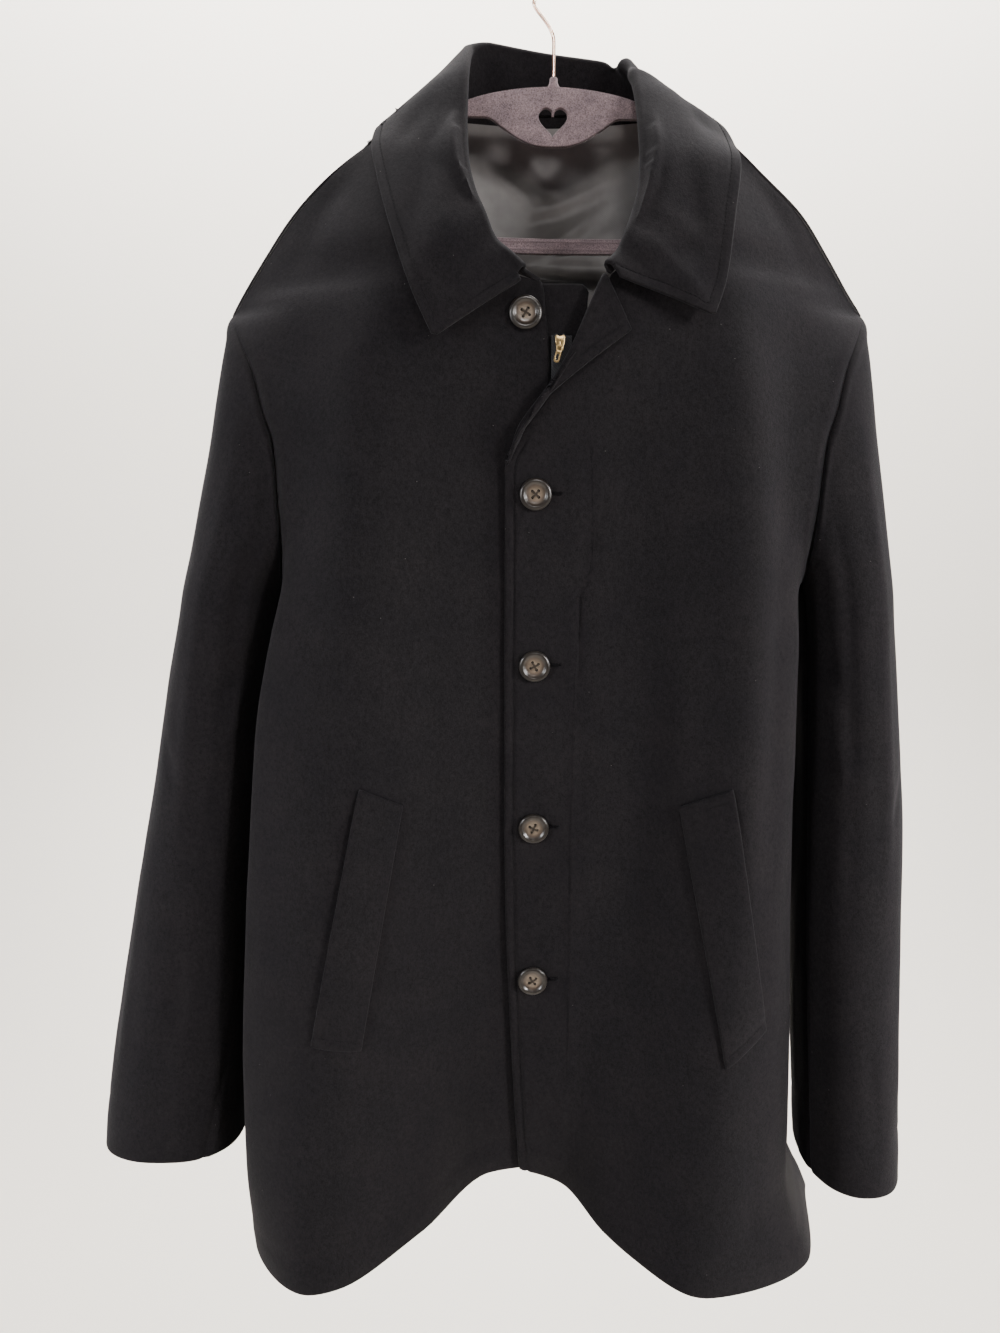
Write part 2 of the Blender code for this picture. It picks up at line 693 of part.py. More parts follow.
def collar_profile(rows, t):
    """The stand's leg and the fall's leg at the row number t, as two lists of points."""
    seam = along_rows([r[0] for r in rows], t)
    roll = along_rows([r[1] for r in rows], t)
    edge = along_rows([r[2] for r in rows], t, COLLAR_POINTS)
    down = ((seam - roll).normalized() + (edge - roll).normalized()).normalized()
    ahead = along_rows([r[1] for r in rows], t + 0.1) - along_rows([r[1] for r in rows], t - 0.1)
    across = ahead.cross(down).normalized()
    down = across.cross(ahead).normalized()
    start = roll + down * FOLD_HALF - across * FOLD_HALF
    end = roll + down * FOLD_HALF + across * FOLD_HALF
    middle = (start + end) / 2
    foot = seam - across * (COLLAR_CLOTH + 0.6)
    foot = foot + (start - foot).normalized() * STAND_GAP
    stand = [foot + (start - foot) * k / 4 for k in range(5)]
    fold = []
    for k in range(1, 5):
        turn = math.pi * k / 5
        fold.append(middle + (start - middle) * math.cos(turn) + (roll - middle) * math.sin(turn))
    control = end + down * (edge - end).length * 0.35 + across * (edge - end).length * 0.08
    fall = []
    for k in range(7):
        s = k / 6
        point = end * (1 - s) ** 2 + control * 2 * s * (1 - s) + edge * s * s
        fall.append(point)
    return stand, fold, fall


def build_collar(panels, material):
    """The stand from the neck seam, and the fall from the seam inside over the roll to its edge."""
    rows = collar_rows()
    numbers = spread(0, len(rows) - 1, 2 * (len(rows) - 1) + 1)
    stands = []
    falls = []
    for t in numbers:
        stand, fold, fall = collar_profile(rows, t)
        stands.append(stand[:3])
        falls.append(stand[2:] + fold + fall)
    for line in falls:
        line[0] = line[0] + (line[1] - line[0]).normalized() * 3 * SEAM
    clear_of(falls, -1, COLLAR_CLOTH, panels, 8, 1.0)
    for name, grid in (("collar_stand", stands), ("collar_fall", falls)):
        normals = grid_normals(grid, -1)
        inner = [[p - n * COLLAR_CLOTH for p, n in zip(line, norms)] for line, norms in zip(grid, normals)]
        wall(name, grid, inner, material)


def build_lapel(panel, material):
    """The over front's top corner, turned back with its facing outside, from round its fold to its edge."""
    profile = [(0.6, 2.4), (2.1, 2.4), (4.2, 1.5), (5.1, -0.6), (4.2, -2.7), (2.1, -3.7)]
    keys = [k / (len(LAPEL_EDGE) - 1) for k in range(len(LAPEL_EDGE))]
    outer = []
    for v in spread(0.2, 0.98, 12):
        fold_z = -372 + (LAPEL_TOP[1] + 372) * v
        fold = front_point("left", 0, fold_z)
        up = front_point("left", 0, fold_z + 2) - front_point("left", 0, fold_z - 2)
        out = Vector((-up.z, 0, up.x)).normalized()
        line = [fold + out * away + Vector((0, dy, 0)) for away, dy in profile]
        edge_x = smooth(keys, [p[0] for p in LAPEL_EDGE], v)
        edge_z = smooth(keys, [p[1] for p in LAPEL_EDGE], v)
        for s in (0.16, 0.33, 0.5, 0.67, 0.84, 1.0):
            x = fold.x + (edge_x - fold.x) * s
            z = fold_z + (edge_z - fold_z) * s
            line.append(Vector((x, face_height("left", x, z) - 3.9 - 1.5 * s, z)))
        outer.append(line)
    clear_of(outer, 1, CLOTH, panel, len(profile), 0.9)
    normals = grid_normals(outer, 1)
    inner = [[p - n * CLOTH for p, n in zip(line, norms)] for line, norms in zip(outer, normals)]
    return wall("facing_left", outer, inner, material)


def strip(name, columns, rows, depth, thickness, material):
    """A flat strip behind the front edge: columns are x values, depth gives y from the height."""
    outer = [[Vector((x, depth(z), z)) for x in columns] for z in rows]
    inner = [[p + Vector((0, thickness, 0)) for p in line] for line in outer]
    return wall(name, outer, inner, material)


def build_zip(cloth, tape, metal):
    """The guard, the two tapes, the slider and its pull tab."""
    edge = FRONTS["right"]
    lower = [ZIP_END_Z, -820, -740, -660, -580, -500, -420, -350]
    guard_rows = lower + [-300, -258, -248]
    tape_rows = lower + [ZIP_TOP_Z - 18, ZIP_TOP_Z]

    def guard_depth(z):
        return edge.at("edge_y", z) + 3.0

    def tape_depth(z):
        return edge.at("edge_y", z) - 0.9

    strip("zip_guard", [-12, -2, 10, 21], guard_rows, guard_depth, 2.0, cloth)
    strip("zip_tape_right", [-3.6, ZIP_X - 0.15], tape_rows, tape_depth, 0.8, tape)
    strip("zip_tape_left", [ZIP_X + 0.15, ZIP_X + 8.3], tape_rows, tape_depth, 0.8, tape)

    face = tape_depth(SLIDER_Z) - SEAM
    slider = block("zip_slider", (7.0, 3.0, 11.0), (ZIP_X, face - 1.5, SLIDER_Z), 0.7, metal)
    top = face - 3.0
    for lift, size, at in (
        ("bridge_top", (1.3, 1.8, 1.1), (ZIP_X, top - 0.8, SLIDER_Z + 1.6)),
        ("bridge_foot", (1.3, 1.8, 1.1), (ZIP_X, top - 0.8, SLIDER_Z - 3.6)),
        ("bridge_bar", (1.3, 0.8, 6.3), (ZIP_X, top - 2.1, SLIDER_Z - 1.0)),
    ):
        join(slider, block(lift, size, at, 0.0, metal))
    pivot = Vector((ZIP_X, top - 0.8, SLIDER_Z - 2.3))
    build_pull(pivot, metal)


def build_pull(pivot, metal):
    """The pull tab, a plate with a window round the slider's bridge, hinged on its top bar."""
    tab = block("zip_pull_tab", (4.0, 0.8, 12.0), (0, 0, -5.4), 0.3, metal)
    window = block("pull_window", (2.7, 4.0, 2.6), (0, 0, -1.85), 0.0, metal)
    hide_cutter(window)
    cut = tab.modifiers.new("window", "BOOLEAN")
    cut.object = window
    cut.operation = "DIFFERENCE"
    hinge = bpy.data.objects.new("pull_hinge", None)
    collection.objects.link(hinge)
    hinge.location = pivot * MM
    hinge.rotation_euler = (0, math.radians(14), 0)
    tab.parent = hinge
    window.parent = hinge


def block(name, size, centre, bevel, material):
    """A box with its edges rounded."""
    bpy.ops.mesh.primitive_cube_add(size=1)
    result = bpy.context.object
    result.name = name
    result.scale = Vector(size) * MM
    result.location = Vector(centre) * MM
    bpy.ops.object.transform_apply(location=False, rotation=False, scale=True)
    adopt(result, material)
    if bevel:
        rounding = result.modifiers.new("rounding", "BEVEL")
        rounding.width = bevel * MM
        rounding.segments = 2
    return result


def adopt(thing, material):
    """Moves a new object to the coat's collection and gives it its material."""
    for old in list(thing.users_collection):
        old.objects.unlink(thing)
    collection.objects.link(thing)
    thing.data.materials.clear()
    thing.data.materials.append(material)


def join(target, piece):
    """Unites a piece with the target by a Boolean, with the piece kept as a hidden guide."""
    hide_cutter(piece)
    union = target.modifiers.new(piece.name, "BOOLEAN")
    union.object = piece
    union.operation = "UNION"


def hide_cutter(thing):
    for old in list(thing.users_collection):
        old.objects.unlink(thing)
    cutters.objects.link(thing)
    thing.hide_render = True
    thing.display_type = "WIRE"


def build_button(name, x, z, y, material):
    """A turned button with a raised rim, a dished middle and four holes."""
    radius = BUTTON_DIAMETER / 2
    height = BUTTON_THICKNESS
    outline = [(0.0, 0.58), (0.42, 0.6), (0.62, 0.72), (0.74, 1.0), (0.9, 0.96), (1.0, 0.6)]
    outline += [(0.86, 0.12), (0.6, 0.0), (0.0, 0.0)]
    mesh = bpy.data.meshes.new(name)
    points = [(r * radius * MM, 0.0, h * height * MM) for r, h in outline]
    mesh.from_pydata(points, [(k, k + 1) for k in range(len(points) - 1)], [])
    result = bpy.data.objects.new(name, mesh)
    collection.objects.link(result)
    mesh.materials.append(material)
    turned = result.modifiers.new("turned", "SCREW")
    turned.steps = 18
    turned.render_steps = 18
    turned.use_merge_vertices = True
    turned.merge_threshold = 0.00001
    turned.use_normal_calculate = True
    for a in (-1, 1):
        for b in (-1, 1):
            bpy.ops.mesh.primitive_cylinder_add(vertices=6, radius=1.05 * MM, depth=4 * height * MM)
            hole = bpy.context.object
            hole.name = name + "_hole"
            hole.location = (a * 2.2 * MM, b * 2.2 * MM, 0)
            adopt(hole, material)
            hide_cutter(hole)
            hole.parent = result
            drill = result.modifiers.new("hole", "BOOLEAN")
            drill.object = hole
            drill.operation = "DIFFERENCE"
    result.rotation_euler = (math.radians(90), 0, 0)
    result.location = Vector((x, y, z)) * MM
    return result


def build_buttons(material):
    """The undone top button on the under front, and four on the over front."""
    places = [(-21.5, "right")] + [(-14.0, "left")] * 4
    for k, (x, side) in enumerate(places):
        z = TOP_BUTTON_Z - BUTTON_PITCH * k
        ring = [(x + dx, z + dz) for dx in (-10, 0, 10) for dz in (-10, 0, 10)]
        face = min(face_height(side, px, pz) for px, pz in ring)
        build_button("button_" + str(k + 1), x, z, face - SEAM, material)


def build_welt(side, material):
    """A slanted pocket welt, lifted from the front's own points."""
    top_out, top_in, low_out, low_in = WELTS[side]
    outer = []
    inner = []
    for v in spread(0, 1, 9):
        line = []
        under = []
        for u in spread(0, 1, 4):
            out_x = top_out[0] + (low_out[0] - top_out[0]) * v
            out_z = top_out[1] + (low_out[1] - top_out[1]) * v
            in_x = top_in[0] + (low_in[0] - top_in[0]) * v
            in_z = top_in[1] + (low_in[1] - top_in[1]) * v
            x = out_x + (in_x - out_x) * u
            z = out_z + (in_z - out_z) * u
            y = face_height(side, x, z)
            line.append(Vector((x, y - CLOTH - 0.5, z)))
            under.append(Vector((x, y - 0.5, z)))
        outer.append(line)
        inner.append(under)
    return wall("pocket_welt_" + side, outer, inner, material)


def hanger_outline():
    """Half of the hanger's outline from the top of its plate out along the arm and back along the bar."""
    top = [(0, -96), (22, -97.5), (42, -100.5), (61, -105.5), (82, -115.3), (104, -126.3), (126, -139)]
    top += [(148, -156.2), (168, -174), (182, -190), (188, -199), (189, -204), (184, -208.5)]
    return top, [(120, -210), (40, -211.5), (0, -212)]


def mirrored(right):
    """A closed outline from its right half, which starts and ends on the middle line."""
    return right + [(-x, z) for x, z in reversed(right[1:-1])]


def flat_spline(curve, points):
    spline = curve.splines.new("POLY")
    spline.points.add(len(points) - 1)
    for point, (x, z) in zip(spline.points, points):
        point.co = (x * MM, z * MM, 0, 1)
    spline.use_cyclic_u = True


def build_hanger(velvet, metal):
    """The flat frame with its window and heart, its nub, and the wire hook."""
    top, low = hanger_outline()
    window_top = [(0, -137.3), (11, -136.6), (21, -133.6), (37, -124.5), (49, -117.5), (61, -117.5), (76, -120.5)]
    window_top += [(92, -129)]
    window_top += [(114, -143), (136, -161), (154, -179), (168, -194), (166, -198.5)]
    window_low = [(120, -199.5), (40, -200.5), (0, -201)]
    heart = []
    for k in range(28):
        turn = 2 * math.pi * k / 28
        across = 16 * math.sin(turn) ** 3
        up = 13 * math.cos(turn) - 5 * math.cos(2 * turn) - 2 * math.cos(3 * turn) - math.cos(4 * turn)
        heart.append((across * 0.66, -119.1 + up * 0.71))
    curve = bpy.data.curves.new("hanger_frame", "CURVE")
    curve.dimensions = "2D"
    curve.fill_mode = "BOTH"
    curve.extrude = HANGER_THICKNESS / 2 * MM
    for points in (mirrored(top + low), mirrored(window_top + window_low), heart):
        flat_spline(curve, points)
    frame = bpy.data.objects.new("hanger_frame", curve)
    collection.objects.link(frame)
    curve.materials.append(velvet)
    frame.rotation_euler = (math.radians(90), HANGER_TILT, 0)
    frame.location.x = 96 * MM * math.sin(HANGER_TILT)

    bpy.ops.mesh.primitive_cylinder_add(vertices=16, radius=2.9 * MM, depth=6 * MM)
    nub = bpy.context.object
    nub.name = "hanger_nub"
    adopt(nub, velvet)
    nub.location = (0, 0, -92.6 * MM)
    build_hook(metal)


def build_hook(metal):
    """The wire: a straight stem, a bend to the side and the crook round the rail."""
    radius = CROOK_RADIUS + HOOK_WIRE / 2
    centre = -CROOK_RADIUS
    stem_top = -66
    route = [(0, -89.2), (0, -80), (0, -72), (0, stem_top)]
    join_turn = math.radians(232)
    join_x = radius * math.cos(join_turn)
    join_z = centre + radius * math.sin(join_turn)
    for k in range(1, 8):
        s = k / 8
        start_pull = stem_top + 14
        pull_x = join_x + 9 * math.sin(join_turn)
        pull_z = join_z + 9 * math.cos(join_turn)
        x = 3 * s * s * (1 - s) * pull_x + s**3 * join_x
        z = (1 - s) ** 3 * stem_top + 3 * s * (1 - s) ** 2 * start_pull
        z += 3 * s * s * (1 - s) * pull_z + s**3 * join_z
        route.append((x, z))
    for k in range(27):
        turn = join_turn - math.radians(262) * k / 26
        route.append((radius * math.cos(turn), centre + radius * math.sin(turn)))
    curve = bpy.data.curves.new("hook_wire", "CURVE")
    curve.dimensions = "3D"
    curve.bevel_depth = HOOK_WIRE / 2 * MM
    curve.bevel_resolution = 2
    curve.use_fill_caps = True
    spline = curve.splines.new("POLY")
    spline.points.add(len(route) - 1)
    for point, (x, z) in zip(spline.points, route):
        point.co = (x * MM, 0, z * MM, 1)
    hook = bpy.data.objects.new("hook_wire", curve)
    collection.objects.link(hook)
    curve.materials.append(metal)


def make_material(name, colour, roughness, metallic=0.0):
    material = bpy.data.materials.new(name)
    material.use_nodes = True
    shader = material.node_tree.nodes["Principled BSDF"]
    shader.inputs["Base Color"].default_value = (*colour, 1)
    shader.inputs["Roughness"].default_value = roughness
    shader.inputs["Metallic"].default_value = metallic
    return material


for old_object in list(bpy.data.objects):
    bpy.data.objects.remove(old_object)

collection = bpy.data.collections.new(NAME)
bpy.context.scene.collection.children.link(collection)
cutters = bpy.data.collections.new("cutters")
bpy.context.scene.collection.children.link(cutters)

wool = make_material("felted_wool", (0.022, 0.022, 0.026), 0.95)
satin = make_material("lining_satin", (0.09, 0.09, 0.095), 0.4)
twill = make_material("zip_twill", (0.02, 0.02, 0.022), 0.9)
horn = make_material("dark_horn", (0.05, 0.03, 0.02), 0.3)
brass = make_material("antique_brass", (0.55, 0.4, 0.2), 0.35, 1.0)
velvet_cloth = make_material("mauve_velvet", (0.22, 0.17, 0.17), 0.95)
rose_gold = make_material("rose_gold", (0.85, 0.55, 0.42), 0.2, 1.0)

back_face = build_back(wool)
right_face = build_front("right", wool)
left_face = build_front("left", wool)
for wearer_side in ("right", "left"):
    build_sleeve(wearer_side, "top", 16, wool)
    build_sleeve(wearer_side, "under", 16, wool)
    build_welt(wearer_side, wool)
build_collar(face_tree([(back_face, True), (right_face, True), (left_face, False)]), wool)
build_lapel(face_tree([(left_face, False)]), wool)
build_zip(wool, twill, brass)
build_buttons(horn)
build_lining(satin)
build_hanger(velvet_cloth, rose_gold)
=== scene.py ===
"""Looks of the car coat on its hanger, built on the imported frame. Sizes are in millimetres unless said."""

import math

import bmesh
import bpy
import numpy as np
from mathutils import Matrix, Vector
from mathutils.bvhtree import BVHTree


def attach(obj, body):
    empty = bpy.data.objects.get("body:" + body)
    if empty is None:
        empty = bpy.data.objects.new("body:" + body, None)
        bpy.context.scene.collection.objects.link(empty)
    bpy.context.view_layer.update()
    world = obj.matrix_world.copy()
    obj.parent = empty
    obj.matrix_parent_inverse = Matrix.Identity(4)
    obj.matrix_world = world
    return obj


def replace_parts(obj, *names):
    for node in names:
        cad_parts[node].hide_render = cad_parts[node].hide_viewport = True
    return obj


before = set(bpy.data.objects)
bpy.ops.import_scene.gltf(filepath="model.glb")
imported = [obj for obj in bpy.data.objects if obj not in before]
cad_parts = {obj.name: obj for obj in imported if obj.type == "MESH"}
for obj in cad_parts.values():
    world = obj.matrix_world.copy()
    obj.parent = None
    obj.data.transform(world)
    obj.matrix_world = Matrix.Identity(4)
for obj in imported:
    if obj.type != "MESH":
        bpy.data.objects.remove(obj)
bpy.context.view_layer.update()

MM = 0.001
FINE = 1.0
FLOOR_Z = -1.7
# Cloth and gaps
CLOTH = 2.4            # felted wool
COLLAR_CLOTH = 3.0     # collar and stand, cut double
LINING_CLOTH = 1.0
GUARD_CLOTH = 2.0
TAPE_CLOTH = 0.8
SEAM = 0.3             # gap between two pieces at a seam

# Heights
SHOULDER_TIP_Z = -256.0
ARMPIT_Z = -462.0
HEM_Z = -926.0         # at the front edge; the sides hang lower
NECK_POINT_Z = -108.0
CUFF_Z = {"right": -900.0, "left": -908.0}

# Buttons and zip
BUTTON_DIAMETER = 22.5
BUTTON_THICKNESS = 3.8
BUTTON_PITCH = 122.5
TOP_BUTTON_Z = -267.0
ZIP_X = 2.2
ZIP_TOP_Z = -282.0
GUARD_TOP_Z = -248.0
ZIP_END_Z = -900.0
SLIDER_Z = -287.0

# Hanger
HANGER_THICKNESS = 5.0
HANGER_TILT = math.radians(1.0)
HOOK_WIRE = 2.6
CROOK_RADIUS = 20.0

FRONT_COLUMNS = "z edge_x edge_y mid_x mid_y flank_x flank_y crest_x crest_y turn_x turn_y"
RIGHT_FRONT = [
    (-926, -4, -49.5, -46, -51, -100, -90, -180, -130, -230, -84),
    (-862, -4, -54.5, -46, -56, -98, -88, -178, -124, -236, -84),
    (-782, -4, -58.5, -46, -60, -95, -86, -172, -117, -235, -80),
    (-702, -4, -61.5, -46, -63, -92, -84, -165, -111, -231, -77),
    (-622, -4, -63.5, -46, -65, -88, -82, -158, -105, -224, -74),
    (-542, -4, -64.5, -46, -66, -84, -80, -152, -98, -216, -68),
    (-462, -4, -65.5, -46, -67, -80, -78, -145, -92, -199, -62),
    (-432, -4, -66, -46, -67.5, -79, -77, -142, -89, -190, -64),
    (-402, -4, -66.5, -46, -68, -77, -77, -139, -86, -185, -65),
    (-345, -4, -67.5, -46, -69, -74, -75, -132, -80, -183, -62),
    (-292, -5, -68.5, -44, -70, -70, -72, -125, -72, -185, -48),
    (-262, -8, -69, -42, -71, -66, -71, -120, -65, -188, -38),
    (-247, -10, -69.5, -40, -71, -62, -70, -115, -61, -188, -31),
    (-240, -36, -71, -48, -71, -68, -69, -115, -58, -185, -27),
    (-202, -66, -59, -76, -57, -92, -53, -125, -42, -170, -20),
    (-152, -83, -37, -91, -33, -102, -28, -120, -19, -142, -8),
    (-122, -84, -14, -91, -11, -98, -8.5, -107, -5, -115, -2),
    (-108, -83.5, -2, -84.3, -1.7, -85, -1.4, -85.8, -1, -86.5, -0.5),
]
LEFT_FRONT = [
    (-926, -24, -55, 8, -63, 41, -101, 104, -135, 201, -95),
    (-862, -28, -60, 14, -66, 52, -90, 118, -126, 181, -92),
    (-782, -32, -64, 18, -68, 58, -84, 124, -119, 180, -86),
    (-702, -35, -67, 20, -69, 62, -80, 130, -113, 179, -80),
    (-622, -36, -69, 20, -70, 63, -78, 134, -107, 178, -76),
    (-542, -36, -70, 20, -71, 64, -76, 136, -101, 177, -72),
    (-462, -36, -71, 20, -72, 64, -75, 136, -94, 177, -68),
    (-432, -36, -71.5, 20, -72.5, 63, -75, 134, -91, 175, -67),
    (-402, -36, -72, 20, -73, 62, -75, 132, -87, 173, -66),
    (-372, -36, -72.5, 20, -73.5, 61, -75, 129, -83, 172, -64),
    (-345, -22, -72.8, 22, -74, 60, -75, 126, -80, 172, -61),
    (-312, 2.5, -73, 26, -74, 58, -74, 122, -76, 174, -54),
    (-292, 14, -73.5, 30, -74, 58, -73, 120, -72, 176, -47),
    (-262, 27.3, -74, 41, -74, 62, -71, 115, -65, 178, -37),
    (-242, 37, -74, 47, -73, 64, -70, 112, -60, 178, -28),
    (-232, 50, -71, 58, -70, 72, -67, 110, -56, 172, -25),
    (-202, 65, -60, 74, -57, 88, -52, 120, -41, 162, -19),
    (-152, 81, -37, 88, -33, 98, -28, 115, -19, 134, -8),
    (-122, 82, -14, 88, -11, 94, -8.5, 102, -5, 109, -2),
    (-108, 81.5, -2, 82, -1.7, 82.6, -1.4, 83.2, -1, 83.8, -0.5),
]
BACK_COLUMNS = "z a_x a_y b_x b_y c_x c_y d_x d_y e_x e_y"
BACK = [
    (-926, -238, 16, -130, 26, -15, 22, 100, 26, 200, 8),
    (-782, -226, 20, -125, 29, -15, 25, 95, 29, 176, 16),
    (-622, -208, 24, -120, 31, -12, 27, 95, 31, 172, 18),
    (-462, -190, 30, -110, 36, -8, 32, 95, 36, 170, 26),
    (-402, -180, 36, -110, 40, -5, 36, 95, 40, 158, 32),
    (-345, -178, 36, -110, 42, -3, 39, 98, 41, 158, 32),
    (-292, -190, 30, -110, 42, 0, 42, 100, 41, 172, 28),
    (-256, -205, 18, -115, 40, 0, 44, 108, 39, 185, 17),
    (-202, -175, 16, -105, 36, 0, 47, 100, 35, 165, 16),
    (-152, -145, 10, -100, 31, 0, 50, 96, 30, 136, 10),
    (-122, -104, 14, -80, 32, 0, 51, 78, 32, 96, 14),
    (-108, -80, 18, -62, 38, 0, 50, 60, 38, 78, 18),
]
# Side seams below the armpit and the ridge of the shoulders above the tip
SIDE_COLUMNS = "z right_x right_y left_x left_y"
SIDE_SEAMS = [
    (-926, -252, 0, 222, -15),
    (-862, -243, 1, 194, -6),
    (-782, -236, 2, 188, -2),
    (-702, -229, 3, 187, 2),
    (-622, -222, 4, 186, 4),
    (-542, -214, 4, 185, 0),
    (-480, -205.5, -4, 184.5, -14),
    (-462, -203.5, -6, 185.5, -19),
]
RIDGE_COLUMNS = "z right_x left_x"
RIDGE = [
    (-256, -242, 234.5),
    (-241, -233.2, 224),
    (-212, -214, 205.6),
    (-184, -193.6, 186.3),
    (-156, -166, 157),
    (-129, -129, 126),
    (-117, -108, 104),
    (-108, -87.5, 84.5),
]
# Each sleeve's tube, as the limits of its oval at each height
SLEEVE_COLUMNS = "z outer inner front rear"
RIGHT_SLEEVE = [
    (-905, -358, -249, -84, 2),
    (-862, -354, -245.5, -81, 10),
    (-782, -342.5, -239, -76, 24),
    (-702, -327.5, -233.5, -72, 36),
    (-622, -311.5, -226.5, -69, 46),
    (-542, -297, -218, -67, 52),
    (-480, -285, -207.5, -66, 53),
    (-462, -282, -204, -65, 52),
    (-432, -275, -190, -63, 49),
    (-402, -269, -175, -60, 44),
    (-345, -257, -160, -52, 36),
    (-292, -248, -150, -38, 28),
    (-256, -242, -150, -21, 21),
]
LEFT_SLEEVE = [
    (-910, 273, 201, -112, -4),
    (-862, 271, 198.5, -109, 0),
    (-782, 269, 194.5, -103, 6),
    (-702, 268, 192, -97, 14),
    (-622, 266, 191, -90, 22),
    (-542, 261, 190, -82, 30),
    (-480, 256.5, 188, -75, 36),
    (-462, 255, 186, -74, 36),
    (-432, 252, 178, -70, 36),
    (-402, 249, 168, -66, 36),
    (-345, 243, 158, -55, 32),
    (-292, 238, 150, -40, 26),
    (-256, 234.5, 150, -21, 21),
]
OVAL_POWER = 0.85
# Height of the armhole seam round the sleeve's tube, by the angle from its outer side
ARMHOLE = [(0, -256), (30, -264), (65, -292), (93, -345), (115, -402), (137, -432)]
ARMHOLE += [(160, -453), (180, -462)]
# How far the hem hangs below the front edge, along each front and the back
FRONT_SAG = [(0, 0), (0.15, -8), (0.32, -28), (0.52, -47), (0.8, -49), (1, -40)]
BACK_SAG = [(0, -40), (0.5, -32), (1, -40)]
# Shares of a panel's width at the points of its sections
FRONT_STOPS = [(0, 0), (0.8, 4), (1, 5)]
BACK_STOPS = [(0, 0), (0.12, 1), (0.88, 5), (1, 6)]
# The collar: where a row meets the neck seam, then x, y, z of its roll line and x, y, z of its outer edge.
# The seam is given by its height on the fronts and by its share of the width on the back.
COLLAR_RIGHT = [
    (-246, -23, -79.5, -236.5, -27, -84, -247),
    (-238, -30, -76.5, -229, -47, -84, -260.5),
    (-226, -41, -69, -218, -83.4, -90, -285),
    (-212, -49, -61, -198, -98, -84, -253),
    (-190, -56, -51, -180, -107, -72, -228),
    (-163, -60.5, -38, -157, -121, -46, -181),
    (-135, -62, -22, -125, -130.4, -16, -138),
    (-110, -61.5, -2, -84, -126, 10, -119),
]
COLLAR_BACK = [
    (0.10, -61, 24, -58, -104, 42, -118),
    (0.27, -46, 41, -48, -60, 62, -117),
    (0.50, -3, 47, -53, 0, 68, -116),
    (0.73, 42, 40, -62, 56, 62, -117),
    (0.90, 54, 22, -70, 100, 42, -118),
]
COLLAR_LEFT = [
    (-110, 56, -2, -90, 119, 9, -118),
    (-135, 58, -20, -118, 129, -14, -139),
    (-163, 58.5, -36, -150, 128.5, -38, -157),
    (-190, 57, -47, -175, 121.5, -60, -200),
    (-212, 52, -58, -196, 113, -78, -247),
    (-226, 46, -67, -212, 104, -88, -271),
    (-236, 40, -72, -226, 70, -84, -256),
    (-242, 32, -80, -235, 42, -84, -245),
]
COLLAR_POINTS = (2, 18)     # rows at the two points of the collar
FOLD_HALF = 4.2             # half the thickness of the collar's fold
STAND_GAP = 2.5             # from the neck seam's line to the stand, past the panels' thickness
# Free edge of the turned-back corner, from the bottom of its fold up
LAPEL_EDGE = [(-36, -372), (-29.6, -353), (-18.3, -335), (17, -303), (52.3, -277)]
LAPEL_TOP_Z = -243
EDGE_STITCH_IN = 6.0        # topstitching from the edges of the collar and the corner
# Corners of the pocket welts: top outer, top inner, bottom outer, bottom inner, as x and z
WELTS = {
    "right": ((-137.5, -596), (-109.5, -611), (-175, -783), (-141, -790)),
    "left": ((123.5, -595), (90.5, -612), (154.5, -774), (124.5, -798)),
}


def curve(xs, ys, x):
    """Values at x of a cubic through the points that never overshoots them."""
    xs = np.asarray(xs, float)
    ys = np.asarray(ys, float)
    steps = np.diff(ys) / np.diff(xs)
    both = steps[:-1] * steps[1:]
    total = np.where(both > 0, steps[:-1] + steps[1:], 1.0)
    slopes = np.concatenate([steps[:1], np.where(both > 0, 2 * both / total, 0.0), steps[-1:]])
    x = np.clip(x, xs[0], xs[-1])
    k = np.clip(np.searchsorted(xs, x, side="right") - 1, 0, len(xs) - 2)
    width = xs[k + 1] - xs[k]
    t = (x - xs[k]) / width
    start = (1 + 2 * t) * (1 - t) ** 2 * ys[k] + t * (1 - t) ** 2 * width * slopes[k]
    return start + t * t * (3 - 2 * t) * ys[k + 1] + t * t * (t - 1) * width * slopes[k + 1]


class Table:
    """Named columns of sizes, joined from row to row by smooth curves in the first column."""

    def __init__(self, names, rows):
        ordered = sorted(rows)
        self.keys = [row[0] for row in ordered]
        self.columns = {name: [row[i] for row in ordered] for i, name in enumerate(names.split())}

    def at(self, name, key):
        return curve(self.keys, self.columns[name], key)

    def pair(self, name, key):
        """The x and y of a place."""
        return float(self.at(name + "_x", key)), float(self.at(name + "_y", key))


FRONTS = {"right": Table(FRONT_COLUMNS, RIGHT_FRONT), "left": Table(FRONT_COLUMNS, LEFT_FRONT)}
BACK_TABLE = Table(BACK_COLUMNS, BACK)
SIDES = Table(SIDE_COLUMNS, SIDE_SEAMS)
RIDGES = Table(RIDGE_COLUMNS, RIDGE)
SLEEVES = {"right": Table(SLEEVE_COLUMNS, RIGHT_SLEEVE), "left": Table(SLEEVE_COLUMNS, LEFT_SLEEVE)}


def armhole_height(angle):
    return curve(*zip(*ARMHOLE), np.abs(angle))


ANGLE_STEPS = np.linspace(0, 180, 721)
HEIGHT_STEPS = armhole_height(ANGLE_STEPS)


def armhole_angle(z):
    return np.interp(-np.asarray(z, float), -HEIGHT_STEPS, ANGLE_STEPS)


def power(value):
    return np.sign(value) * np.abs(value) ** OVAL_POWER


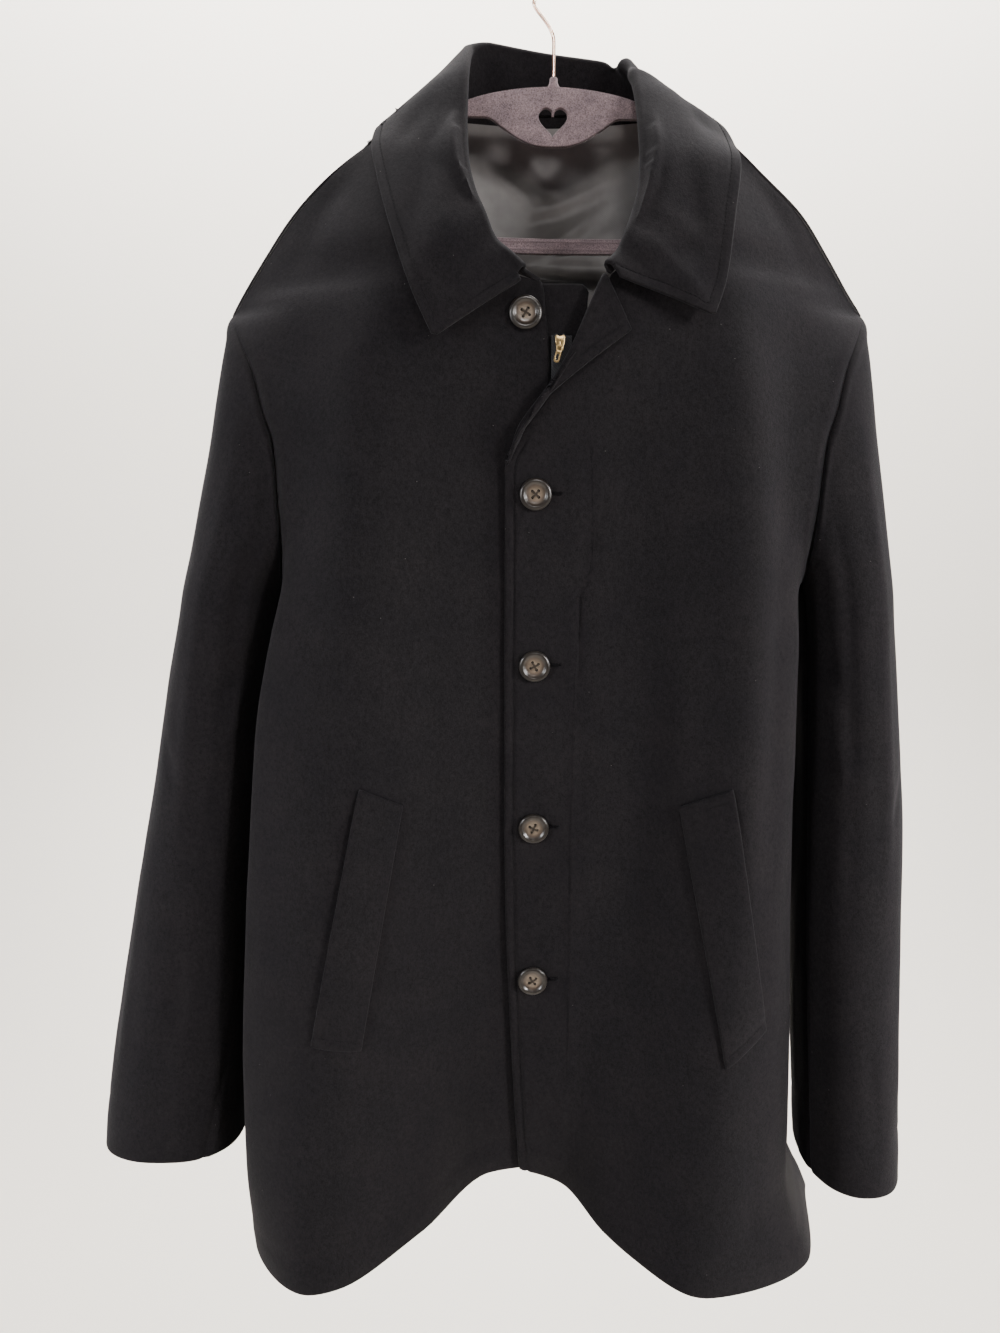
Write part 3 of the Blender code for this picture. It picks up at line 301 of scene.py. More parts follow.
def tube_point(side, z, angle):
    """Points on a sleeve's tube; the angle runs from its outer side, plus to the front."""
    table = SLEEVES[side]
    z = np.asarray(z, float)
    outer, inner, front, rear = (table.at(n, z) for n in ("outer", "inner", "front", "rear"))
    turn = np.radians(angle)
    x = (outer + inner) / 2 + (outer - inner) / 2 * power(np.cos(turn))
    y = (front + rear) / 2 + (front - rear) / 2 * power(np.sin(turn))
    return np.stack([x, y, z + 0 * x], axis=-1)


def panel_side(side, z, facing):
    """Where a panel ends: shoulder ridge, armhole seam or side seam."""
    if z >= SHOULDER_TIP_Z:
        return float(RIDGES.at(side + "_x", z)), 0.0
    if z > ARMPIT_Z:
        point = tube_point(side, z, facing * armhole_angle(z))
        return float(point[0]), float(point[1])
    return SIDES.pair(side, z)


def hem_share(z):
    return max(0.0, min(1.0, (ARMPIT_Z - z) / (ARMPIT_Z - HEM_Z))) ** 1.3


def way_along(points):
    """Distance along a line of points from its first."""
    return np.concatenate([[0.0], np.cumsum(np.linalg.norm(np.diff(points, axis=0), axis=1))])


def through(points, us, stops):
    """Points at shares of a smooth flat curve; stops pair shares with the numbers of points."""
    points = np.array(points, float)
    lengths = way_along(points)
    s = np.interp(us, [a for a, _ in stops], [lengths[k] for _, k in stops])
    return curve(lengths, points[:, 0], s), curve(lengths, points[:, 1], s)


def front_row(side, us, row_z):
    """A row of points on a front's outer face, from its free edge to its side."""
    table = FRONTS[side]
    names = ("edge", "mid", "flank", "crest", "turn")
    points = [table.pair(name, row_z) for name in names]
    points.append(panel_side(side, row_z, 1))
    us = np.asarray(us, float)
    x, y = through(points, us, FRONT_STOPS)
    sag = curve(*zip(*FRONT_SAG), us)
    return np.stack([x, y, row_z + sag * hem_share(row_z)], axis=1)


def back_row(us, row_z):
    """A row of points on the back's outer face, from the right side to the left."""
    points = [panel_side("right", row_z, -1)]
    points += [BACK_TABLE.pair(name, row_z) for name in "abcde"]
    points.append(panel_side("left", row_z, -1))
    us = np.asarray(us, float)
    x, y = through(points, us, BACK_STOPS)
    sag = curve(*zip(*BACK_SAG), us)
    rise = 9.0 * np.sin(np.pi * np.clip(us, 0, 1)) ** 0.6 * max(0.0, 1 + (row_z - NECK_POINT_Z) / 45.0) ** 2
    return np.stack([x, y, row_z + sag * hem_share(row_z) + rise], axis=1)


def normals_of(grid, sign):
    """Unit normals of a grid of points."""
    along = np.gradient(grid, axis=1)
    up = np.gradient(grid, axis=0)
    normals = np.cross(along, up)
    return normals / (np.linalg.norm(normals, axis=2, keepdims=True) + 1e-9) * sign


def unit(vector):
    return vector / (np.linalg.norm(vector) + 1e-9)


def soft(value):
    """A smooth step from 0 to 1."""
    value = np.clip(value, 0, 1)
    return value * value * (3 - 2 * value)


def bell(distance, width):
    return np.exp(-((distance / width) ** 2))


def along_columns(grid):
    """Distance along each row of a grid from its first point."""
    steps = np.linalg.norm(np.diff(grid, axis=1), axis=2)
    return np.concatenate([np.zeros((len(grid), 1)), np.cumsum(steps, axis=1)], axis=1)


def to_last_column(grid):
    along = along_columns(grid)
    return along[:, -1:] - along


def front_view(grid):
    """The x and z of points."""
    return grid[..., [0, 2]]


def to_line(places, line):
    """Distance from flat places to a line of points, and how far along the line they lie, 0 to 1."""
    line = np.array(line, float)
    best = np.full(places.shape[:-1], 1e9)
    along = np.zeros(places.shape[:-1])
    lengths = np.linalg.norm(np.diff(line, axis=0), axis=1)
    total = lengths.sum()
    done = 0.0
    for k, length in enumerate(lengths):
        step = line[k + 1] - line[k]
        t = np.clip(((places - line[k]) @ step) / (length * length), 0, 1)
        gap = np.linalg.norm(places - line[k] - t[..., None] * step, axis=-1)
        near = gap < best
        best = np.where(near, gap, best)
        along = np.where(near, (done + t * length) / total, along)
        done += length
    return best, along


def creases(places, table):
    """Heights of soft ridges and troughs. Each row has its height, its half width and its line of points."""
    height = np.zeros(places.shape[:-1])
    for lift, width, line in table:
        gap, along = to_line(places, line)
        fade = soft(along / 0.3) * soft((1 - along) / 0.3)
        ripple = 1 + 0.25 * np.sin(9.0 * along + lift)
        height += lift * ripple * fade * bell(gap, width)
    return height


def uneven(places, size, amount, seed):
    """Small soft unevenness of hanging cloth, from a few waves that cross each other."""
    x = places[..., 0] / size
    z = places[..., 1] / size
    wave = np.sin(x * 2.1 + 1.7 * np.sin(z * 0.9 + seed)) + np.sin(z * 1.3 - x * 0.7 + 2.0 * seed)
    wave += 0.6 * np.sin(x * 4.3 + z * 2.2 + 1.3 * np.sin(z * 1.9 - seed))
    return wave * amount / 2.6


def linked(name, data):
    thing = bpy.data.objects.new(name, data)
    bpy.context.scene.collection.objects.link(thing)
    return thing


def finished(name, mesh, materials, sharp, body="coat"):
    """A smooth-shaded object of a mesh, on its body."""
    for material in materials:
        mesh.materials.append(material)
    mesh.shade_smooth()
    mesh.set_sharp_from_angle(angle=math.radians(sharp))
    mesh.update()
    piece = linked(name, mesh)
    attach(piece, body)
    return piece


def mesh_piece(name, vertices, faces, materials, sharp=50, indices=None):
    """An object from points in millimetres."""
    mesh = bpy.data.meshes.new(name)
    mesh.from_pydata([tuple(v) for v in np.asarray(vertices, float) * MM], [], faces)
    if indices is not None:
        mesh.polygons.foreach_set("material_index", np.asarray(indices, np.int32))
    return finished(name, mesh, materials, sharp)


def shell(node, outer, sign, thickness, cloth, rounded_sides, inside=None, wool_rows=0, wool_top=0,
          slot="felted_wool", ending="_cloth"):
    """A sheet in a node's place: a thin closed wall from its outer face, rounded on the named sides."""
    rows, columns = outer.shape[:2]
    normals = normals_of(outer, sign)
    inner = outer - normals * thickness
    border = [(0, j) for j in range(columns)] + [(i, columns - 1) for i in range(1, rows)]
    border += [(rows - 1, j) for j in range(columns - 2, -1, -1)] + [(i, 0) for i in range(rows - 2, 0, -1)]
    outward = []
    for i, j in border:
        step = np.zeros(3)
        for at, side, one, two in (
            (i == 0, "bottom", outer[0, j], outer[1, j]),
            (i == rows - 1, "top", outer[-1, j], outer[-2, j]),
            (j == 0, "start", outer[i, 0], outer[i, 1]),
            (j == columns - 1, "end", outer[i, -1], outer[i, -2]),
        ):
            if at and side in rounded_sides:
                step += unit(one - two)
        length = np.linalg.norm(step)
        outward.append(step / length if length > 0.1 else step)
    outward = np.array(outward)
    edge = np.array([outer[i, j] for i, j in border])
    lean = np.array([normals[i, j] for i, j in border])
    half = thickness / 2
    rings = []
    for turn in np.radians((36, 72, 108, 144)):
        rings.append(edge - lean * half * (1 - math.cos(turn)) + outward * half * math.sin(turn))
    vertices = np.concatenate([outer.reshape(-1, 3), inner.reshape(-1, 3), *rings])
    count = rows * columns
    size = len(border)
    faces = []
    indices = []
    for k, quad in enumerate(grid_faces(rows, columns, sign)):
        lined = inside and wool_rows <= k // (columns - 1) < rows - 1 - wool_top
        faces += [quad, tuple(count + corner for corner in quad[::-1])]
        indices += [0, 1 if lined else 0]
    first = [i * columns + j for i, j in border]
    levels = [first] + [[2 * count + r * size + k for k in range(size)] for r in range(len(rings))]
    levels.append([count + k for k in first])
    for above, below in zip(levels, levels[1:]):
        for k in range(size):
            m = (k + 1) % size
            quad = (above[k], below[k], below[m], above[m])
            faces.append(quad if sign > 0 else quad[::-1])
            indices.append(0)
    materials = [cloth] + ([inside] if inside else [])
    piece = mesh_piece(node + ending, vertices, faces, materials, indices=indices)
    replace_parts(piece, node)
    return piece


def grid_faces(rows, columns, sign, base=0):
    """The quads of a grid of points, turned by the sign of its normals."""
    faces = []
    for i in range(rows - 1):
        for j in range(columns - 1):
            a = base + i * columns + j
            quad = (a, a + 1, a + 1 + columns, a + columns)
            faces.append(quad if sign > 0 else quad[::-1])
    return faces


def tree_of(grids):
    """A search tree over outer faces; each grid comes with its normals' sign."""
    points = []
    faces = []
    for grid, sign in grids:
        faces += grid_faces(*grid.shape[:2], sign, len(points))
        points += [tuple(p) for p in grid.reshape(-1, 3)]
    return BVHTree.FromPolygons(points, faces)


def clear_of(grid, sign, thickness, tree, first, gap, rounds=3):
    """The grid moved off what it lies on, from a column on, until its inner face clears it."""
    for _ in range(rounds):
        normals = normals_of(grid, sign)
        under = grid - normals * thickness
        for i in range(grid.shape[0]):
            for j in range(first, grid.shape[1]):
                place, up, _, _ = tree.find_nearest(Vector(under[i, j]), 15.0)
                if place is None:
                    continue
                height = (Vector(under[i, j]) - place).dot(up)
                if height < gap:
                    grid[i, j] += np.array(up * (gap - height))
    return grid


def face_y(tree, x, z):
    """Depth y of a face in the front view, from its tree."""
    place, _, _, _ = tree.ray_cast(Vector((x, -400.0, z)), Vector((0, 1, 0)))
    if place is None:
        place, _, _, _ = tree.find_nearest(Vector((x, -90.0, z)))
    return place.y


def flat_size(grid):
    """Width, length and area of a grid of cloth, in metres."""
    steps = np.linalg.norm(np.diff(grid, axis=1), axis=2).sum(axis=1)
    lengths = np.linalg.norm(np.diff(grid, axis=0), axis=2).sum(axis=0)
    a = grid[:-1, :-1]
    across = grid[1:, 1:] - a
    area = np.linalg.norm(np.cross(grid[:-1, 1:] - a, across), axis=2).sum() / 2
    area += np.linalg.norm(np.cross(across, grid[1:, :-1] - a), axis=2).sum() / 2
    return steps.max() * MM, lengths.max() * MM, area * MM * MM


LEAST_CUT = 0.01         # metres, the least width that a cut is given


def cut_sheet(grid):
    """Works out the width, length and area of a grid's cut; nothing further is done with them."""
    width, length, area = flat_size(grid)
    width = max(width, LEAST_CUT)
    area = min(area, width * length)


def tube(path, radius, sides=8, squash=1.0, up=(0.0, -1.0, 0.0)):
    """Vertices and faces of a closed tube along points; radius may be one number or one per point."""
    path = np.asarray(path, float)
    count = len(path)
    radius = np.broadcast_to(np.asarray(radius, float), (count,))
    ahead = np.gradient(path, axis=0)
    ahead = ahead / (np.linalg.norm(ahead, axis=1, keepdims=True) + 1e-9)
    across = np.cross(ahead, np.broadcast_to(np.asarray(up, float), (count, 3)))
    across = across / (np.linalg.norm(across, axis=1, keepdims=True) + 1e-9)
    ups = np.cross(across, ahead)
    vertices = []
    for k in range(count):
        for s in range(sides):
            turn = 2 * math.pi * s / sides
            out = across[k] * math.cos(turn) + ups[k] * squash * math.sin(turn)
            vertices.append(path[k] + radius[k] * out)
    faces = []
    for k in range(count - 1):
        for s in range(sides):
            m = (s + 1) % sides
            faces.append((k * sides + s, k * sides + m, (k + 1) * sides + m, (k + 1) * sides + s))
    faces.append(tuple(range(sides))[::-1])
    faces.append(tuple((count - 1) * sides + s for s in range(sides)))
    return vertices, faces


def gathered(parts):
    """Joins lists of vertices and faces into one."""
    vertices = []
    faces = []
    for points, sides in parts:
        base = len(vertices)
        vertices += [tuple(p) for p in points]
        faces += [tuple(base + k for k in face) for face in sides]
    return vertices, faces


STITCH_PITCH = 3.3
STITCH_SHARE = 0.68      # of the pitch that a thread covers
STITCH_RADIUS = 0.27


def stitches(path, normals):
    """Short threads along a line on the cloth, each a little sunk at its ends."""
    path = np.asarray(path, float)
    normals = np.asarray(normals, float)
    lengths = way_along(path)

    def at_way(values, way):
        return np.array([np.interp(way, lengths, values[:, a]) for a in range(3)])

    parts = []
    count = max(2, int(lengths[-1] / STITCH_PITCH))
    for k in range(count):
        start = lengths[-1] * (k + 0.16) / count
        end = start + lengths[-1] / count * STITCH_SHARE
        points = []
        for s in (0.0, 0.2, 0.5, 0.8, 1.0):
            way = start + (end - start) * s
            rise = 0.05 + STITCH_RADIUS * (0.9 - 3.4 * (s - 0.5) ** 2)
            points.append(at_way(path, way) + at_way(normals, way) * rise)
        radii = [share * STITCH_RADIUS for share in (0.5, 0.9, 1.0, 0.9, 0.5)]
        parts.append(tube(points, radii, 6, up=at_way(normals, (start + end) / 2)))
    return gathered(parts)
def nodes_of(name, settings):
    """A new material, its tree and its shader with the settings given."""
    material = bpy.data.materials.new(name)
    material.use_nodes = True
    shader = material.node_tree.nodes["Principled BSDF"]
    for key, value in settings.items():
        shader.inputs[key].default_value = value
    return material, material.node_tree, shader


def add(tree, kind, sources=(), **values):
    """A new node with its values; sources, as sockets or numbers, go to its inputs in order."""
    node = tree.nodes.new(kind)
    for key, value in values.items():
        if key in node.inputs:
            node.inputs[key].default_value = value
        else:
            setattr(node, key, value)
    for k, source in enumerate(sources):
        if isinstance(source, bpy.types.NodeSocket):
            tree.links.new(source, node.inputs[k])
        else:
            node.inputs[k].default_value = source
    return node


def math_of(tree, operation, *sources):
    return add(tree, "ShaderNodeMath", sources, operation=operation).outputs[0]


def ramp(tree, source, stops):
    node = add(tree, "ShaderNodeValToRGB", [source])
    elements = node.color_ramp.elements
    for k, (place, colour) in enumerate(stops):
        element = elements[k] if k < len(elements) else elements.new(place)
        element.position = place
        element.color = (*colour, 1)
    return node.outputs["Color"]


def times(tree, colour, tint):
    """Two colours multiplied."""
    node = add(tree, "ShaderNodeMix", data_type="RGBA", blend_type="MULTIPLY")
    node.inputs["Factor"].default_value = 1.0
    tree.links.new(colour, node.inputs["A"])
    tree.links.new(tint, node.inputs["B"])
    return node.outputs["Result"]


def object_place(tree, scale=(1, 1, 1)):
    """Object coordinates in metres, scaled."""
    place = tree.nodes.new("ShaderNodeTexCoord")
    return add(tree, "ShaderNodeMapping", [place.outputs["Object"]], Scale=scale).outputs["Vector"]


def bump(tree, shader, layers):
    """Chains bump layers, each a height socket with its distance in metres and its strength."""
    last = None
    for socket, distance, strength in layers:
        node = add(tree, "ShaderNodeBump", Distance=distance, Strength=strength)
        tree.links.new(socket, node.inputs["Height"])
        if last is not None:
            tree.links.new(last, node.inputs["Normal"])
        last = node.outputs["Normal"]
    tree.links.new(last, shader.inputs["Normal"])


def noise_of(tree, scale, detail=4.0, stretch=(1, 1, 1), roughness=0.55):
    place = object_place(tree, stretch)
    node = add(tree, "ShaderNodeTexNoise", [place], Scale=scale, Detail=detail, Roughness=roughness)
    return node.outputs["Fac"]


def weave_of(tree, scale, distortion, detail):
    """The fine diagonal lines of a twill."""
    node = add(tree, "ShaderNodeTexWave", [object_place(tree)], Scale=scale, Distortion=distortion,
               Detail=detail, wave_type="BANDS", bands_direction="DIAGONAL")
    return node.outputs["Fac"]


def wool_material(name, dark, light):
    """Felted wool: fine fibres of two tones, a short nap, soft sheen and a few pale specks of lint."""
    settings = {"Roughness": 0.92, "Specular IOR Level": 0.1, "Sheen Weight": 0.06, "Sheen Roughness": 0.45}
    settings["Sheen Tint"] = (0.62, 0.62, 0.7, 1)
    material, tree, shader = nodes_of(name, settings)
    fibres = noise_of(tree, 1500, 3.0, (1.0, 1.0, 0.6), 0.7)
    blend = noise_of(tree, 380, 5.0, (1.0, 1.0, 0.8), 0.75)
    patches = noise_of(tree, 26, 3.0)
    mixed = math_of(tree, "MULTIPLY_ADD", blend, 0.55, math_of(tree, "MULTIPLY", fibres, 0.45))
    tone = ramp(tree, mixed, [(0.36, dark), (0.64, light)])
    shade = times(tree, tone, ramp(tree, patches, [(0.3, (0.86, 0.86, 0.88)), (0.7, (1.12, 1.1, 1.08))]))
    specks = add(tree, "ShaderNodeTexVoronoi", [object_place(tree)], Scale=115.0, Randomness=1.0)
    close = math_of(tree, "LESS_THAN", specks.outputs["Distance"], 0.034)
    chance = add(tree, "ShaderNodeSeparateColor", [specks.outputs["Color"]])
    few = math_of(tree, "GREATER_THAN", chance.outputs[0], 0.86)
    final = add(tree, "ShaderNodeMix", data_type="RGBA")
    tree.links.new(math_of(tree, "MULTIPLY", close, few), final.inputs["Factor"])
    tree.links.new(shade, final.inputs["A"])
    final.inputs["B"].default_value = (0.11, 0.1, 0.095, 1)
    tree.links.new(final.outputs["Result"], shader.inputs["Base Color"])
    bump(tree, shader, [(patches, 0.0012, 0.25), (blend, 0.0005, 0.55), (fibres, 0.00025, 0.5)])
    return material


def satin_material(name, dark, light):
    """Lining satin: a fine diagonal twill with a soft gloss."""
    settings = {"Roughness": 0.5, "Specular IOR Level": 0.35, "Anisotropic": 0.3, "Sheen Weight": 0.15}
    material, tree, shader = nodes_of(name, settings)
    weave = weave_of(tree, 420.0, 0.6, 1.0)
    cloudy = noise_of(tree, 40, 3.0)
    tree.links.new(ramp(tree, cloudy, [(0.3, dark), (0.7, light)]), shader.inputs["Base Color"])
    bump(tree, shader, [(cloudy, 0.0012, 0.12), (weave, 0.00008, 0.35)])
    return material


def twill_material(name, colour):
    material, tree, shader = nodes_of(name, {"Roughness": 0.85})
    weave = weave_of(tree, 330.0, 0.4, 2.0)
    light = tuple(1.9 * c for c in colour)
    tree.links.new(ramp(tree, weave, [(0.25, colour), (0.8, light)]), shader.inputs["Base Color"])
    bump(tree, shader, [(weave, 0.00015, 0.6)])
    return material


def thread_material(name, colour):
    material, tree, shader = nodes_of(name, {"Roughness": 0.85, "Specular IOR Level": 0.1})
    twist = noise_of(tree, 2600, 2.0)
    light = tuple(1.5 * c for c in colour)
    tree.links.new(ramp(tree, twist, [(0.3, colour), (0.7, light)]), shader.inputs["Base Color"])
    bump(tree, shader, [(twist, 0.0001, 0.5)])
    return material


# Colours of a horn button from its middle out, over 12.5 mm
HORN_RINGS = [(0.0, (0.25, 0.205, 0.16)), (0.45, (0.16, 0.128, 0.1)), (0.6, (0.065, 0.048, 0.037))]
HORN_RINGS += [(0.74, (0.018, 0.013, 0.01)), (1.0, (0.014, 0.011, 0.009))]


def horn_material(name):
    """Polished horn: a near-black rim, and a paler grey-brown middle with cloudy streaks."""
    material, tree, shader = nodes_of(name, {"Roughness": 0.34, "Coat Weight": 0.35, "Coat Roughness": 0.12})
    place = tree.nodes.new("ShaderNodeTexCoord")
    spot = add(tree, "ShaderNodeSeparateXYZ", [place.outputs["Object"]])
    squares = [math_of(tree, "MULTIPLY", spot.outputs[axis], spot.outputs[axis]) for axis in (0, 1)]
    radius = math_of(tree, "SQRT", math_of(tree, "ADD", *squares))
    cloudy = noise_of(tree, 240, 4.0, (1.0, 2.4, 1.0), 0.6)
    uneven_radius = math_of(tree, "MULTIPLY_ADD", cloudy, 0.003, radius)
    rings = ramp(tree, math_of(tree, "MULTIPLY", uneven_radius, 80.0), HORN_RINGS)
    streaks = ramp(tree, cloudy, [(0.32, (0.55, 0.5, 0.45)), (0.68, (1.35, 1.3, 1.2))])
    tree.links.new(times(tree, rings, streaks), shader.inputs["Base Color"])
    bump(tree, shader, [(cloudy, 0.0002, 0.12)])
    return material


def metal_material(name, colour, roughness, worn):
    material, tree, shader = nodes_of(name, {"Metallic": 1.0})
    marks = noise_of(tree, 700, 4.0, (1, 1, 0.3))
    tree.links.new(ramp(tree, marks, [(0.3, worn), (0.62, colour)]), shader.inputs["Base Color"])
    rough = math_of(tree, "MULTIPLY_ADD", marks, 0.16, roughness - 0.08)
    tree.links.new(rough, shader.inputs["Roughness"])
    bump(tree, shader, [(marks, 0.00006, 0.3)])
    return material


def velvet_material(name, dark, light):
    """Flocked velvet: short upright fibres with a pale sheen at grazing angles."""
    settings = {"Roughness": 0.9, "Specular IOR Level": 0.2, "Sheen Weight": 0.3, "Sheen Roughness": 0.35}
    settings["Sheen Tint"] = (0.95, 0.86, 0.88, 1)
    material, tree, shader = nodes_of(name, settings)
    flock = noise_of(tree, 1400, 3.0, (1, 1, 1), 0.7)
    brushed = noise_of(tree, 60, 3.0, (1.0, 1.0, 2.2))
    tone = ramp(tree, flock, [(0.35, dark), (0.65, light)])
    shade = times(tree, tone, ramp(tree, brushed, [(0.3, (0.82, 0.82, 0.84)), (0.7, (1.1, 1.08, 1.08))]))
    tree.links.new(shade, shader.inputs["Base Color"])
    bump(tree, shader, [(brushed, 0.0006, 0.2), (flock, 0.0003, 0.6)])
    return material


wool = wool_material("felted_wool", (0.0044, 0.0039, 0.0045), (0.0158, 0.0138, 0.0151))
satin = satin_material("lining_satin", (0.13, 0.12, 0.116), (0.19, 0.178, 0.172))
twill = twill_material("zip_twill", (0.012, 0.012, 0.014))
thread = thread_material("black_thread", (0.0062, 0.0056, 0.0065))
button_thread = thread_material("button_thread", (0.045, 0.036, 0.029))
horn = horn_material("dark_horn")
brass = metal_material("antique_brass", (0.55, 0.39, 0.19), 0.32, (0.33, 0.22, 0.1))
rose_gold = metal_material("rose_gold", (0.93, 0.66, 0.52), 0.16, (0.88, 0.58, 0.46))
velvet = velvet_material("mauve_velvet", (0.12, 0.088, 0.093), (0.34, 0.255, 0.265))
# Panels

STITCH_IN = 7.0        # topstitching from a front edge
PLACKET_X = 18.2       # placket stitching, straight down
FLAP_TOP_Z = -350.0    # above it the over front turns back
EDGE_START = 1.2       # of a front's columns, inside its rounded edge
ROW_STEP = 4.2


def spread_z(low, high, step):
    return np.linspace(low, high, max(2, int(round((high - low) / (step * FINE))) + 1))


PANEL_ZS = spread_z(HEM_Z, NECK_POINT_Z, ROW_STEP)


def edge_columns(length, placket, count):
    """Shares of a front's row: close together at its edge and at its placket, even past them."""
    near = np.array([EDGE_START, 2.2, 3.6, 5.2, 6.2, 6.7, 7.0, 7.3, 7.8, 9.0])
    rest = np.array([11, 14, 18, 23, 28, 33, 38, 43, 47.5, 50]) - 9
    near = np.concatenate([near, 9 + rest * (placket - 11) / 41])
    near = np.concatenate([near, placket + np.array([-0.8, -0.3, 0.0, 0.3, 0.8, 2.0, 5.0])]) / length
    rest = near[-1] + (1 - near[-1]) * (1 - (1 - np.linspace(0, 1, count)[1:]) ** 1.25)
    return np.concatenate([near, rest])


def front_grid(side):
    rows = []
    for z in PANEL_ZS:
        probe = front_row(side, np.linspace(0, 1, 60), z)
        way = way_along(probe)
        placket = 52.0
        if side == "left":
            placket = max(24.0, float(np.interp(PLACKET_X, probe[:, 0], way)))
        rows.append(front_row(side, edge_columns(way[-1], placket, int(52 / FINE)), z))
    return np.array(rows)


# Soft creases of the fronts: height, half width and line, in the front view
RIGHT_CREASES = [
    (3.6, 24, [(-118, -200), (-126, -300), (-134, -430), (-140, -580), (-142, -700)]),
    (-2.8, 18, [(-64, -300), (-74, -400), (-82, -520), (-88, -680), (-92, -800)]),
    (-1.1, 9, [(-196, -330), (-186, -380), (-172, -440)]),
    (0.9, 7, [(-206, -350), (-194, -410), (-180, -470)]),
    (-1.2, 8, [(-200, -452), (-176, -478), (-150, -520)]),
    (0.8, 8, [(-206, -470), (-182, -505), (-160, -560)]),
    (-1.0, 10, [(-212, -560), (-206, -640), (-200, -740)]),
    (1.2, 12, [(-60, -640), (-64, -740), (-66, -860)]),
    (-0.8, 7, [(-120, -590), (-128, -560), (-132, -520)]),
    (-1.0, 10, [(-150, -150), (-170, -190), (-196, -240)]),
    (0.9, 9, [(-40, -420), (-44, -520), (-46, -600)]),
    (-0.9, 7, [(-52, -930), (-60, -880), (-64, -820)]),
    (-0.7, 6, [(-120, -960), (-124, -905), (-122, -850)]),
    (0.8, 6, [(-30, -300), (-52, -318), (-80, -330)]),
]
LEFT_CREASES = [
    (4.0, 26, [(112, -190), (122, -300), (128, -420), (130, -560), (128, -700)]),
    (-4.6, 20, [(50, -300), (56, -400), (58, -540), (54, -700), (46, -860)]),
    (-1.6, 11, [(40, -560), (36, -680), (30, -800), (26, -900)]),
    (2.6, 14, [(88, -400), (92, -520), (90, -660)]),
    (-2.4, 12, [(160, -360), (158, -480), (154, -620), (152, -760)]),
    (-1.1, 8, [(186, -440), (170, -472), (150, -500)]),
    (0.9, 8, [(188, -470), (172, -520), (160, -580)]),
    (-1.1, 9, [(182, -560), (178, -660), (176, -760)]),
    (-1.0, 7, [(52, -936), (58, -890), (64, -830)]),
    (0.9, 6, [(66, -950), (72, -900), (78, -850)]),
    (-0.9, 6, [(150, -960), (148, -905), (150, -850)]),
    (-0.9, 9, [(150, -150), (172, -200), (196, -250)]),
    (0.7, 7, [(28, -420), (30, -520), (29, -640)]),
    (-0.7, 6, [(30, -345), (52, -330), (80, -322)]),
    (-0.8, 8, [(98, -600), (104, -570), (108, -530)]),
]


def seams_and_hem(grid, to_side, hem_depth, hem_width):
    """The rolls of a panel's cloth at its side seams, and its hem with the stitched line."""
    body = soft((SHOULDER_TIP_Z + 10 - PANEL_ZS[:, None]) / 20)
    lift = -1.5 * np.exp(-to_side / 2.0) + 0.55 * bell(to_side - 6, 3.5) * body
    hem = grid[..., 2] - grid[:1, :, 2]
    return lift - hem_depth * bell(hem - 25, hem_width) + 0.4 * bell(hem - 14, 8)


def dressed_front(side, creases_of):
    """A front's grid with its stitched grooves, creases and the rolls at its seams."""
    grid = front_grid(side)
    along = along_columns(grid)
    from_edge = along + EDGE_START
    to_side = along[:, -1:] - along
    places = front_view(grid)
    calm = soft((from_edge - 8) / 30) * soft(to_side / 25)
    seed, wide_seed = (1.0, 2.5) if side == "left" else (4.0, 0.5)
    lift = creases(places, creases_of) * np.maximum(calm, 0.25)
    lift += uneven(places, 46, 0.55, seed) * calm + uneven(places, 120, 1.0, wide_seed) * calm
    if side == "left":
        zs = PANEL_ZS[:, None]
        flap = soft((FLAP_TOP_Z - zs) / 12)
        lift += flap * (0.5 * bell(from_edge - 3.8, 2.2) - 0.85 * bell(from_edge - STITCH_IN, 0.8))
        lift += 0.3 * flap * bell(from_edge - 11, 3.0)
        placket = soft((FLAP_TOP_Z - 2 - zs) / 12) * soft((zs + 860) / 150)
        from_line = grid[..., 0] - PLACKET_X
        lift += placket * (0.75 * bell(from_line + 4.5, 2.8) - 1.45 * bell(from_line, 1.0))
    lift += seams_and_hem(grid, to_side, 0.6, 1.9)
    return grid + normals_of(grid, 1 if side == "left" else -1) * lift[..., None]


def stitch_column(grid, column, low, high):
    """Stitches along a column of the over front, between two heights."""
    keep = (grid[:, column, 2] >= low) & (grid[:, column, 2] <= high)
    return stitches(grid[keep, column], normals_of(grid, 1)[keep, column])


EDGE_STITCH_ZS = (-904, -360)
PLACKET_STITCH_ZS = (-845, -352)
NEAR_STITCH = 6        # the column of the topstitching
NEAR_PLACKET = 22      # the column of the placket's stitching
FACING_ROWS = int(38 / ROW_STEP / FINE)    # rows of wool inside the hem
NECK_ROWS = int(15 / ROW_STEP / FINE)      # and below the neck seam

left_grid = dressed_front("left", LEFT_CREASES)
right_grid = dressed_front("right", RIGHT_CREASES)
FRONT_SHELL = (CLOTH, wool, ("start", "bottom"), satin, FACING_ROWS, NECK_ROWS)
front_left = shell("front_left", left_grid, 1, *FRONT_SHELL)
front_right = shell("front_right", right_grid, -1, *FRONT_SHELL)

